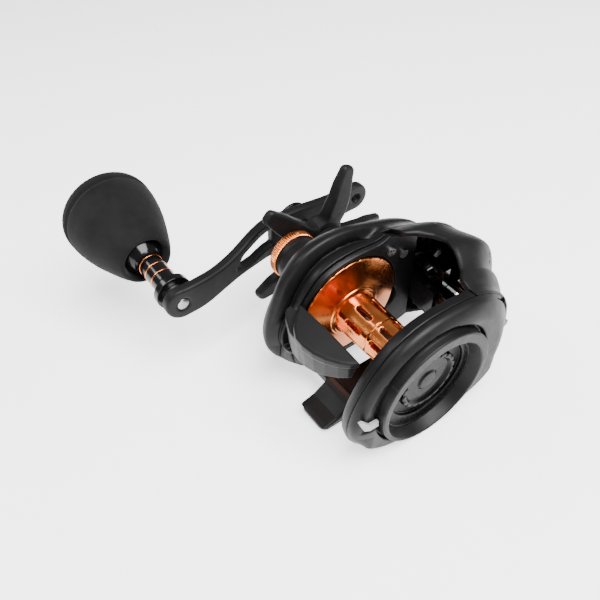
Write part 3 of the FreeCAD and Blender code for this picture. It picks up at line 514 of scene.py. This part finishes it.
# seam between the gear-side cover and the hood: (y, x)
SEAM = track([(-30, -21.0), (0, -21.0), (8, -20.9), (13, -19.4), (18, -17.4), (25, -14.6), (33, -8.5), (45, -4)])
CASE_INSET = track([(-31, 7.0), (-29.5, 4.6), (-27.5, 2.4), (-25.5, 0.8), (-24, 0.12), (-23, 0.0), (-22.3, 0.4),
                    (-21.6, 1.7), (-21.0, 2.9), (-19, 3.1), (-14, 3.5)])
PALM_INSET = track([(13.6, 1.1), (15.5, 0.55), (17.2, 0.25), (18.6, 0.0), (19.6, 0.35), (20.6, 1.5), (21.6, 3.2),
                    (22.4, 5.2)])
# half the joint's width on each side of the seam, the ridge's place and the least wall round the gears
SEAM_GAP, RIDGE_X, COVER_WALL = 0.06, -23.0, 0.8
# rooms for the gears and bores in the cover, as (axis, radius, low, high)
GEAR_ROOMS = ((SPOOL, 16.2, -24.6, -17), (SPOOL, 12.6, -30.6, -24), (DRIVE, 13.9, -30.6, -18), (WORM, 8.0, -24.0, -18))
COVER_BORES = ((SPOOL, 6.6, -46, -38.6), (SPOOL, 3.65, -46, -30), (SPOOL, 8.75, -46, -39.7),
               (DRIVE, 5.9, -39.6, -30), (DRIVE, 4.6, -46, -39))
# spool opening in both walls, and where each wall starts or ends along x
SPOOL_BORE, LEFT_WALL, RIGHT_WALL, INNER_FACE = 17.95, (-20.94, -14.2), (13.75, 17.05), -18.6


def case_skin(x, y, z):
    """The gear side's outer surface: a low band beside the spool, then the ridge, closing in outboard."""
    share = ahead(y, 9, 9)
    inboard = CASE_INSET(np.maximum(x, RIDGE_X)) * (1 - share) + 0.25 * share
    outboard = CASE_INSET(np.minimum(x, RIDGE_X))
    return outline(x, y, z) + np.where(x > RIDGE_X, inboard, outboard) * under(z)


def window(x, y, z):
    """Above and inside the window's edge."""
    return np.maximum(polygon(x, y, WINDOW), -z)


def handle_cover(x, y, z):
    """The gear-side cover with the cap's and the drive shaft's necks, hollow inside."""
    body = smax(case_skin(x, y, z), -31.0 - x, 5.0)
    cap_neck = np.hypot(y, z) - np.interp(x, (-44, -39.8, -34, -27), (8.2, 8.2, 9.6, 14.5))
    drive_neck = tube(x, y, z, DRIVE, 0) - np.interp(x, (-44, -40, -33, -27), (8.6, 9.0, 10.4, 14.0))
    cap_neck = smax(cap_neck, -39.6 - x, 0.4)
    drive_neck = smax(drive_neck, -44.0 - x, 0.6)
    body = smin(smin(body, cap_neck, 5.0), drive_neck, 3.0)
    body = smax(body, x - SEAM(y) + SEAM_GAP, 0.3)
    thin = np.where(x > INNER_FACE, case_skin(x, y, z) + 1.8, 9.0)
    body = smax(body, -thin, 0.3)
    cavity = np.maximum(bores(x, y, z, GEAR_ROOMS), body + COVER_WALL)
    body = smax(body, -np.minimum(cavity, bores(x, y, z, COVER_BORES)), 0.35)
    body = smax(body, -window(x, y, z), 1.0)
    return smax(body, -21.3 - z, 0.6)


# cut in the gear-side wall that the thumb bar's end moves in, as (y, z)
BAR_BERTH = ((-30, -7.5), (-18.6, -7.5), (-18.1, 0), (-17.4, 11.5), (-30, 11.5))
# the spine over the foot as (y, z): a ramp at the rear, a low back under the spool, a rise to the front
SPINE = ((-24.6, -20.3), (25.0, -20.3), (28.6, -15.2), (23.4, -15.2), (21.6, -17.4), (-11.0, -17.4),
         (-12.6, -15.4), (-14.8, -15.9), (-19.2, -18.7), (-24.6, -20.0))
# the beams between the walls as ((y), (z)), the line guide's gap and the side vent as (y, z)
FRONT_BEAM, REAR_BEAM = ((27.4, 32.2), (-15.0, -12.1)), ((-14.2, -11.2), (-18.8, -15.6))
GUIDE_GAP = ((19.8, -9.0), (24.4, -10.0), (24.6, 5.5), (19.8, 7.0))
VENT = ((23.6, 15.4), (29.6, 11.0), (29.9, 6.6), (25.0, 10.2))


def left_wall(x, y, z):
    """The frame's wall on the gear side, with its ring groove and the thumb bar's berth."""
    inset = CASE_INSET(np.maximum(x, -21.0)) * (1 - ahead(y, 9, 9))
    band = outline(x, y, z) + np.maximum(inset, 2.05 * ahead(y, 9, 8)) * under(z)
    wall = smax(band, between(x, *LEFT_WALL), 0.45)
    wall = smax(wall, SEAM(y) + SEAM_GAP - x, 0.3)
    rooms = np.where(x > INNER_FACE, 1e3, bores(np.minimum(x, INNER_FACE - 0.01), y, z, GEAR_ROOMS))
    wall = smax(wall, -rooms, 0.2)
    wall = smax(wall, -rod(x, y, z, SPOOL, SPOOL_BORE, -16.5, 0, 0.1), 0.35)
    groove = np.maximum(between(x, -16.3, -15.9), SPOOL_BORE + 0.1 - np.hypot(y, z)) - 2.0 * ahead(y, 15, 3)
    wall = smax(wall, -groove - 4.0 * ahead(y, 14, 4), 0.15)
    for axis, radius in ((SPOOL, 4.2), (DRIVE, 5.0)):
        wall = smax(wall, -tube(x, y, z, axis, radius), 0.3)
    return smax(wall, -smax(polygon(y, z, BAR_BERTH), -18.7 - x, 0.6), 0.8)


def right_wall(x, y, z):
    """The frame's wall on the palm side."""
    share = ahead(y, 16, 1.5)
    skin = outline(x, y, z) + (PALM_INSET(x) * (1 - share) + 3.0 * share) * under(z)
    wall = smax(skin, between(x, *RIGHT_WALL), 0.5)
    return smax(wall, -rod(x, y, z, SPOOL, SPOOL_BORE, 0, 20, 0.1), 0.4)


def body_frame(x, y, z):
    """The frame: two walls, the beams between them and the spine over the foot."""
    walls = np.minimum(left_wall(x, y, z), right_wall(x, y, z))
    front, rear = (smax(between(y, *ys), between(z, *zs), 0.8) for ys, zs in (FRONT_BEAM, REAR_BEAM))
    beams = smax(np.minimum(front, rear), between(x, -15.5, 15.5), 0.4)
    spine = smax(polygon(y, z, SPINE), between(x, -6.0, 6.0), 0.9)
    shape = smin(smin(walls, beams, 1.6), spine, 1.2)
    ports = np.minimum(tube(x, y, z, WORM, 3.65), tube(x, y, z, BAR, 1.52))
    shape = smax(shape, -ports, 0.2)
    shape = smax(shape, -np.maximum(polygon(y, z, GUIDE_GAP) - 0.4, 13.0 - x), 0.6)
    return smax(shape, -vent(x, y, z), 0.5)


def vent(x, y, z):
    """Triangular opening between the hood and the palm side's nose."""
    return smax(polygon(y, z, VENT) - 0.5, between(x, 8, 18.3), 0.4)


def hood(x, y, z):
    """The hood over the line guide: a shell under the outline, with a bent gill in its side."""
    outer = outline(x, y, z) + 0.25 + np.maximum(PALM_INSET(x) - 0.25, 0) * ease((x - 12) / 3) * 0.5
    shell = smax(outer, -(outline(x, y, z) + 2.7), 0.6)
    shell = smax(shell, 16.7 - y, 0.35)
    shell = smax(shell, x - RIGHT_WALL[1], 0.4)
    shell = smax(shell, SEAM(y) + SEAM_GAP - x, 0.3)
    shell = smax(shell, 7.6 - 0.15 * (y - 14) - z, 1.0)
    shell = smax(shell, -window(x, y, z), 1.6)
    bend = (3.6, 35.4, 14.8)
    gill = np.minimum(capsule(x, y, z, (0.5, 33.4, 18.6), bend, 0.75), capsule(x, y, z, bend, (8.0, 32.0, 12.6), 0.6))
    shell = smax(shell, -gill, 0.3)
    return smax(shell, -vent(x, y, z), 0.5)


# the raised ring's radius and face, and the trench round it
RING_R, RING_X, TRENCH_R = 18.9, 23.7, 19.9
# the ring's dished face and, inside it, the pocket that the brake dial turns in
DISH_X, DISH_RADII, DISH_DROP, POCKET_R = 20.0, (15.3, 16.9), 1.5, 12.6
# the release lever from the side as (y, z), and its two faces along x
LEVER_OUTLINE = ((-26.0, 3.6), (-24.5, 3.2), (-21.9, -0.2), (-18.8, -0.5), (-18.8, -2.9), (-21.9, -2.7),
                 (-23.8, -1.4))
LEVER_X = (20.9, 22.1)
# the lowered land that the lever sweeps over: its angles from straight back, and its floor
LAND_FROM, LAND_TO, LAND_X = math.radians(-10), math.radians(34), 20.7


def palm_plate(x, y, z):
    """The palm-side cover: its ring with the dished face, the dial's pocket and the bearing's cup."""
    plate = outline(x, y, z) + PALM_INSET(x) * under(z - 3)
    lobe = ease((-y - 17) / 4)
    plate = smax(plate, x - 21.8 - 0.2 * lobe, 1.2)
    plate = smax(plate, 17.17 - x, 0.3)
    radius = np.hypot(y, z)
    trench = smax(smax(RING_R - radius, radius - TRENCH_R, 0.2), 19.9 - x, 0.4)
    plate = smax(plate, -trench, 0.4)
    ring = smax(smax(radius - RING_R, x - RING_X, 0.5), 19.0 - x, 0.2)
    plate = smin(plate, ring, 0.2)
    dish = np.hypot(y, z + DISH_DROP) - np.interp(x, (DISH_X, RING_X), DISH_RADII)
    plate = smax(plate, -smax(dish * 0.85, DISH_X - x, 0.3), 0.4)
    pocket = smax(radius - POCKET_R, 18.95 - x, 0.3)
    plate = smax(plate, -pocket, 0.4)
    cup = rod(x, y, z, SPOOL, 4.6, 14.6, 18.5, 0.3)
    plate = np.minimum(plate, cup)
    plate = smax(plate, -rod(x, y, z, SPOOL, 3.56, 14, 17.25, 0.1), 0.1)
    plate = smax(plate, -tube(x, y, z, SPOOL, 2.65), 0.2)
    lift = np.arctan2(z, -y)
    land = smax(between(lift, LAND_FROM, LAND_TO) * radius, LAND_X - x, 0.4)
    plate = smax(plate, -np.maximum(land, RING_R + 0.1 - radius), 0.5)
    return smax(plate, -vent(x, y, z), 0.5)


def lever_shape(x, y, z):
    """The release lever's tab, cut round to sit outside the ring."""
    tab = smax(polygon(y, z, LEVER_OUTLINE), between(x, *LEVER_X), 0.35)
    return smax(tab, RING_R + 0.2 - np.hypot(y, z), 0.3)


FOOT_LOW, FOOT_HIGH = ((corner - ORIGIN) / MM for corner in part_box("reel_foot"))
FOOT_CORNER = 2.4


def foot_shape(x, y, z):
    """The tongue that the rod's hoods grip, with rounded ends and a softened upper edge."""
    u = np.abs(x) - (FOOT_HIGH.x - FOOT_CORNER)
    v = np.abs(y - (FOOT_LOW.y + FOOT_HIGH.y) / 2) - ((FOOT_HIGH.y - FOOT_LOW.y) / 2 - FOOT_CORNER)
    plan = np.hypot(np.maximum(u, 0), np.maximum(v, 0)) + np.minimum(np.maximum(u, v), 0) - FOOT_CORNER
    return smax(plan, between(z, FOOT_LOW.z, FOOT_HIGH.z), 1.1)


def build_foot():
    moulded("foot_tongue", foot_shape, FOOT_LOW, FOOT_HIGH, 0.35, "reel_body", FRAME_BLACK,
            ["reel_foot"])


def in_dish(spot, normal):
    """Whether a place on the palm plate is in the recess of its dished face, which gets the darker black of painted
    shade.
    """
    across = math.hypot(spot.y, spot.z + DISH_DROP)
    return DISH_X - 2 < spot.x < DISH_X + 0.3 and across < DISH_RADII[0] + 0.4


def build_body():
    moulded("side_cover_shell", handle_cover, (-44.5, -27, -22), (-3, 44, 24), 0.5, "reel_body", COVER_BLACK,
            ["handle_side_cover"])
    moulded("frame_casting", body_frame, (-21.5, -28, -22), (17.6, 42, 23.5), 0.42, "reel_body", FRAME_BLACK,
            ["frame"])
    moulded("hood_shell", hood, (-17.5, 16, 0), (17.6, 42, 24), 0.4, "reel_body", COVER_BLACK,
            ["front_hood"])
    palm = moulded("palm_plate_shell", palm_plate, (14.2, -28, -21), (24, 31.5, 23.5), 0.4, "palm_cover",
                   COVER_BLACK, ["palm_side_plate"])
    # the dish's recess gets the darker, weakly reflecting black of painted shade
    second_material(palm, RECESS_PAINTED_SHADE, in_dish)
    moulded("release_lever_tab", lever_shape, (19.5, -27, -4.2), (22.8, -18, 4.8), 0.2, "release_lever_body",
            LEVER_GREY, ["release_lever"])


# ------------------------------------------------------------------ thumb bar
# the pad and the skirt below it from above, as (x, y)
PAD_OUTLINE = ((-14.0, -18.2), (11.2, -18.2), (10.4, -20.0), (8.4, -22.1), (5.2, -24.3), (1.8, -25.7),
               (-1.9, -26.3), (-4.8, -26.1), (-8.2, -24.3), (-11.5, -21.0))
SKIRT_OUTLINE = ((-18.0, -18.8), (10.9, -18.5), (10.1, -20.2), (8.1, -22.2), (5.0, -24.2), (1.7, -25.5),
                 (-1.9, -26.0), (-5.2, -25.9), (-9.4, -25.2), (-14.6, -23.0), (-17.4, -20.8))
PAD_TOP, PAD_CROWN = 12.6, 0.0036


def thumb_shape(x, y, z):
    """The thumb bar: a crowned pad on a sloping skirt, hollow below."""
    plan = polygon(x, y, PAD_OUTLINE)
    top = z - PAD_TOP + PAD_CROWN * (x + 1) ** 2
    pad = smax(plan - 0.35, top, 1.0)
    pad = smax(pad, 9.8 - z, 0.7)
    skirt = smax(polygon(x, y, SKIRT_OUTLINE) + 0.10 * (9 - z), top + 2.4, 0.8)
    skirt = smax(skirt, 2.2 + 0.28 * x - z, 0.8)
    hollow = smax(plan + 2.6, z - 9.4, 0.5)
    return smax(smin(pad, skirt, 0.5), -hollow, 0.5)


def build_thumb_bar():
    thing = moulded("thumb_bar_shell", thumb_shape, (-19, -28.5, -4), (13.5, -16.5, 14), 0.3, "thumb_bar_body",
                    COVER_BLACK, ["thumb_bar"])
    second_material(thing, PAD_BLACK, lambda spot, normal: normal.z > 0.82 and spot.z > 8.6)


# ------------------------------------------------------------------ handle, star and knob
# the arm's middle plane along x, by y
ARM_X = track([(-46, -48.8), (-28, -48.8), (-23.5, -49.9), (-13, -53.5), (-4.5, -57.0), (0, -58.5), (4, -58.8),
               (40, -58.8)])
ARM_THICK = 3.6
# the arm's slot, as (y, z - drive axis)
ARM_SLOT = ((-16.2, 2.4), (-13, 4.7), (-6, 5.3), (0.6, 5.0), (0.6, -0.6), (-8, -0.4), (-13.4, 1.0))


def arm_shape(x, y, z):
    """The handle arm: a bent blade from the knob's eye to its far end, with a slot and three holes."""
    dy, dz = DRIVE
    ky, kz = KNOB
    end_y, end_z = dy + 23.4, dz + 2.3
    middle = track([(ky - 6, kz), (ky, kz), (-22, -2.2), (-8, -2.5), (0, -3.6), (dy, dz + 0.4), (end_y, end_z),
                    (end_y + 6, end_z)])
    half = track([(ky - 6, 5.4), (ky, 5.5), (-31, 5.3), (-22, 4.7), (-15, 5.2), (-8, 6.5), (0, 7.4), (dy, 7.8),
                  (dy + 7, 6.6), (dy + 15, 5.3), (end_y, 5.2), (end_y + 6, 5.2)])
    blade = smax(np.abs(z - middle(y)) - half(y), between(y, ky, end_y), 0.05)
    ends = np.minimum(np.hypot(y - ky, z - kz) - 5.6, np.hypot(y - end_y, z - end_z) - 5.2)
    side = np.minimum(blade, ends)
    holes = polygon(y, z - dz, ARM_SLOT) - 0.6
    for hole_y, hole_z, radius in ((end_y, end_z, 1.6), (ky, kz, 2.03), (dy, dz, 2.93)):
        holes = np.minimum(holes, np.hypot(y - hole_y, z - hole_z) - radius)
    side = smax(side, -holes, 0.5)
    slope = 1 / np.sqrt(1 + 0.16 * (ease((y + 26) / 6) - ease((y + 3) / 6)))
    faces = np.abs(x - ARM_X(y)) * slope - ARM_THICK / 2
    return smax(side, faces, 1.1)


def build_arm():
    ky, dy = KNOB[0], DRIVE[0]
    moulded("handle_arm_blade", arm_shape, (-61.5, ky - 7, -14.5), (-46, dy + 31, 5), 0.38, "crank", ARM_BLACK,
            ["handle_arm"])


STAR_ARMS, STAR_R, STAR_TURN = 5, 28.2, math.radians(-8.2)


def star_shape(x, y, z):
    """The star drag wheel: five bent arms on a hub."""
    v, w = y - DRIVE[0], z - DRIVE[1]
    radius, angle = np.hypot(v, w), np.arctan2(w, v)
    sector = 2 * math.pi / STAR_ARMS
    local = (angle - STAR_TURN + sector / 2) % sector - sector / 2
    along, across = radius * np.cos(local), radius * np.sin(local)
    half = np.interp(along, (6, 14, 21, STAR_R), (3.6, 3.9, 3.4, 2.2))
    middle = np.interp(along, (8, 12, 17, 22, STAR_R), (-48.0, -47.4, -47.6, -48.6, -49.4))
    thick = np.interp(along, (8, 20, STAR_R), (2.4, 2.0, 1.4))
    arm = smax(smax(np.abs(across) - half, np.abs(x - middle) - thick, 1.2), along - STAR_R, 1.6)
    arm = smax(arm, 4 - along, 0.3)
    hub = rod(x, y, z, DRIVE, 8.0, -52.0, -46.2, 0.8)
    shape = smin(arm, hub, 3.0)
    return smax(shape, -tube(x, y, z, DRIVE, 3.06), 0.3)


def build_star():
    reach = STAR_R + 0.6
    moulded("star_wheel_blade", star_shape, (-53, DRIVE[0] - reach, DRIVE[1] - reach),
            (-44.2, DRIVE[0] + reach, DRIVE[1] + reach), 0.36, "star_wheel", ARM_BLACK, ["star_drag"])


def build_knob():
    foam = [(-74.4, 3.0), (-74.4, 6.9), (-72.6, 7.2), (-71.0, 7.8), (-71.4, 8.8), (-74.4, 10.3), (-78.4, 11.8),
            (-82.4, 13.2), (-86.4, 14.5), (-90.4, 15.5), (-94.4, 16.2), (-96.6, 16.4), (-97.3, 15.9), (-98.0, 15.9),
            (-98.8, 16.6), (-101.2, 16.4), (-103.2, 15.2), (-104.4, 12.6), (-104.6, 5.4), (-89.2, 5.4), (-89.2, 3.0)]
    grip = turned("knob_foam", [foam], "knob", FOAM_BLACK, ["knob_grip"], KNOB, 1.4, 144)
    bands = (60.0, 64.1, 68.2)
    neck = [(-52.4, 2.9), (-52.4, 6.0), (-54.9, 6.0), (-55.3, 4.2), (-57.0, 4.0)]
    for start in bands:
        neck += [(-start, 4.0), (-start, 3.8), (-start - 0.6, 3.8), (-start - 0.6, 4.0)]
    neck += [(-69.6, 4.0), (-70.8, 4.5), (-72.3, 5.8), (-73.0, 6.5), (-74.3, 6.5), (-74.3, 2.9)]
    turned("knob_ferrule", [neck], "knob", GLOSS_BLACK, ["knob_neck"], KNOB, 0.25, 96)
    rings = [[(-s, 3.82), (-s - 0.02, 4.12), (-s - 0.58, 4.12), (-s - 0.58, 3.82)] for s in bands]
    turned("ferrule_rings", rings, "knob", ORANGE, ["neck_rings"], KNOB, 0.12, 96)
    cap = [(-101.6, 0), (-101.6, 5.25), (-104.3, 5.25), (-104.75, 4.3), (-104.6, 0)]
    turned("knob_end_cap", [cap], "knob", GLOSS_BLACK, ["knob_cap"], KNOB, 0.3, 96)
    pin = [(-46.3, 0), (-46.35, 1.1), (-46.7, 2.0), (-47, 2.0), (-50.65, 2.0), (-50.65, 3.6), (-52.3, 3.6),
           (-52.3, 2.0), (-90, 2.0), (-90, 1.05), (-84, 1.05), (-84, 0)]
    turned("knob_spindle", [pin], "crank", STEEL, ["knob_shaft"], KNOB, 0.15, 64)


def build_handle_nut():
    nut = [(-63, 2.46), (-63, 5.0), (-60.66, 5.0), (-60.66, 2.46)]

    def hexagon(x, r, angle):
        """The nut's six flats, outside its bore."""
        if r < 3:
            return r
        turn = (angle + math.pi / 6) % (math.pi / 3) - math.pi / 6
        return min(r * 1.04, 4.45 / math.cos(turn))

    turned("handle_nut_hex", [nut], "crank", ARM_BLACK, ["handle_nut"], DRIVE, 0.3, 120, hexagon)
    cap = [(-63.7, 0), (-63.7, 2.5), (-63.1, 2.5), (-63.1, 6.2), (-64.1, 6.2), (-64.9, 5.0), (-64.9, 1.8),
           (-64.5, 1.4), (-64.5, 0)]
    turned("nut_cover_disc", [cap], "crank", GLOSS_BLACK, ["nut_retainer"], DRIVE, 0.25, 96)


# ------------------------------------------------------------------ spool and its controls
SLOT_COUNT, SLOT_TURN = 8, math.radians(20)


def arbor(x, y, z):
    """The spool's fluted drum, with two rings of slots and a belt line."""
    radius, angle = np.hypot(y, z), np.arctan2(z, y)
    outer = np.interp(x, (-11.4, 11.4), (6.95, 6.25))
    sector = 2 * math.pi / SLOT_COUNT
    local = (angle - SLOT_TURN + sector / 2) % sector - sector / 2
    flute = 0.16 * np.cos(local * SLOT_COUNT)
    ring = smax(radius - outer - flute, outer - 1.15 - radius, 0.15)
    ring = smax(ring, between(x, -11.6, 11.6), 0.1)
    across = radius * np.sin(local)
    for middle in (-5.1, 5.1):
        run = np.clip(x - middle, -2.35, 2.35)
        slot = np.hypot(x - middle - run, across) - 0.85
        ring = smax(ring, -np.maximum(slot, 3.5 - radius), 0.35)
    belt = np.maximum(between(x, 0.35, 0.75), outer - 0.18 - radius)
    return smax(ring, -belt, 0.12)


def build_spool():
    left = [(-12.6, 1.74), (-12.6, 7.4), (-15, 16.0), (-15, 17.1), (-14.7, 17.5), (-14.05, 17.5), (-13.85, 16.9),
            (-12.15, 8.7), (-11.75, 8.45), (-11.6, 7.9), (-11.3, 7.5), (-11.3, 1.74)]
    right = [(11.3, 1.74), (11.3, 6.9), (11.6, 7.5), (12.15, 8.4), (13.85, 16.9), (14.05, 17.5), (14.7, 17.5),
             (15, 17.1), (15, 16.0), (12.6, 7.4), (12.6, 1.74)]

    def notched(x, r, angle):
        """Small balance notches round the left rim."""
        near_rim = r > 17.2 and x < 0
        return r - (0.35 if near_rim and abs(((angle / math.pi * 12) % 1) - 0.5) < 0.09 else 0)

    turned("spool_flanges", [left, right], "spool_assembly", ORANGE, ["spool"], SPOOL, 0.16, 240,
           notched)
    moulded("spool_arbor", arbor, (-11.7, -7.3, -7.3), (11.7, 7.3, 7.3), 0.2, "spool_assembly", ORANGE)


def build_controls():
    def knurled(x, r, angle):
        """Fine teeth round the tension ring."""
        return r - (0.28 * (0.5 + 0.5 * math.cos(angle * 60)) ** 2 if r > 8.0 else 0)

    ring = [(-44.55, 7.52), (-44.55, 8.0), (-44.2, 8.3), (-42.1, 8.3), (-41.75, 8.0), (-41.75, 7.52)]
    turned("tension_ring_knurled", [ring], "tension_knob", ORANGE, ["tension_ring"], SPOOL, 0.1,
           480, knurled)
    cap = [(-39.85, 6.58), (-39.85, 7.45), (-40.6, 7.5), (-44.6, 7.5), (-44.75, 7.2), (-44.6, 5.6), (-44.2, 5.2),
           (-44.2, 0), (-41.35, 0), (-41.35, 3), (-43.2, 3), (-43.2, 6.58)]
    turned("tension_cap_turned", [cap], "tension_knob", COVER_BLACK, ["tension_cap"], SPOOL, 0.2, 160)

    def scalloped(x, r, angle):
        """Shallow grips round the dial's rim."""
        return r - (0.35 * max(0.0, math.cos(angle * 20)) if r > 9.0 else 0)

    dial = [(17.4, 0), (17.4, 2.6), (18.97, 2.6), (18.97, 9.6), (20.2, 9.6), (20.4, 9.2), (20.4, 8.2), (19.5, 7.4),
            (19.5, 3.4), (20.0, 2.8), (20.0, 0)]
    # the dial wears the same darker painted-shade black as the recess round it
    turned("brake_dial_turned", [dial], "brake_dial_body", RECESS_PAINTED_SHADE, ["brake_dial"], SPOOL, 0.2, 240,
           scalloped)
    bar = [(-18.4, 0), (-18.4, 1.5), (17.6, 1.5), (17.6, 0)]
    turned("guide_bar_rod", [bar], "reel_body", GLOSS_BLACK, ["guide_bar"], BAR, 0.15, 64)


build_body()
build_foot()
build_thumb_bar()
build_arm()
build_star()
build_knob()
build_handle_nut()
build_spool()
build_controls()

# ------------------------------------------------------------------ floor, lights and camera


FLOOR_REACH, FLOOR_SIDES = 1.2, 96
# the floor's rise per unit of x and of y, and its height (mm) at the spool's axis
FLOOR_TILT_X, FLOOR_TILT_Y, FLOOR_DROP = 0.155, -0.0215, -23.4
WHITE = (1, 1, 1, 1)


def build_floor():
    """A wide pale glowing disc under the reel, which lies tilted towards its handle."""
    mesh = bpy.data.meshes.new("table")
    angles = [2 * math.pi * n / FLOOR_SIDES for n in range(FLOOR_SIDES)]
    ring = [(FLOOR_REACH * math.cos(angle), FLOOR_REACH * math.sin(angle)) for angle in angles]
    middle = ORIGIN.z + FLOOR_DROP * MM
    points = [(x, y + ORIGIN.y, middle + FLOOR_TILT_X * x + FLOOR_TILT_Y * y) for x, y in ring]
    mesh.from_pydata(points, [], [list(range(FLOOR_SIDES))])
    floor = bpy.data.objects.new("table", mesh)
    bpy.context.scene.collection.objects.link(floor)
    material = coated("pale_table", (0.86, 0.86, 0.86), (0.88, 0.88, 0.88), (0.7, 0.8), 900, 0.02)
    glow = material.node_tree.nodes["Principled BSDF"]
    glow.inputs["Emission Color"].default_value = WHITE
    glow.inputs["Emission Strength"].default_value = 1.4
    mesh.materials.append(material)


def area_light(name, place, aim, size, power):
    """A soft square lamp at a place in metres, turned towards a point."""
    lamp = bpy.data.lights.new(name, "AREA")
    lamp.size = size
    lamp.energy = power
    thing = bpy.data.objects.new(name, lamp)
    thing.location = place
    thing.rotation_euler = (Vector(aim) - Vector(place)).to_track_quat("-Z", "Y").to_euler()
    bpy.context.scene.collection.objects.link(thing)


def build_lights():
    world = bpy.data.worlds.new("Studio")
    bpy.context.scene.world = world
    world.use_nodes = True
    background = world.node_tree.nodes["Background"]
    background.inputs["Color"].default_value = WHITE
    background.inputs["Strength"].default_value = 0.3
    aim = (0, 0, 0.02)
    area_light("top_soft", (0.26, 0.06, 0.8), aim, 0.7, 30.0)
    area_light("rear_left", (-0.45, -0.35, 0.5), aim, 0.25, 2.5)


# the camera: lens (mm), its place (mm) from the spool's axis, and the ways it looks and has on its right
LENS, CAMERA_SPOT = 41.16, (92.24, -95.09, 148.33)
LOOK, RIGHT = (-0.566, 0.409, -0.716), (0.586, 0.810, 0.0)


def build_camera():
    camera = bpy.data.cameras.new("camera")
    camera.lens = LENS
    camera.sensor_width = 36
    thing = bpy.data.objects.new("camera", camera)
    bpy.context.scene.collection.objects.link(thing)
    right, forward = Vector(RIGHT).normalized(), Vector(LOOK).normalized()
    right = (right - forward * right.dot(forward)).normalized()
    up = right.cross(forward)
    turn = Matrix((right, up, -forward)).transposed().to_4x4()
    thing.matrix_world = Matrix.Translation(ORIGIN + Vector(CAMERA_SPOT) * MM) @ turn
    camera.clip_start = 0.01
    bpy.context.scene.camera = thing


build_floor()
build_lights()
build_camera()
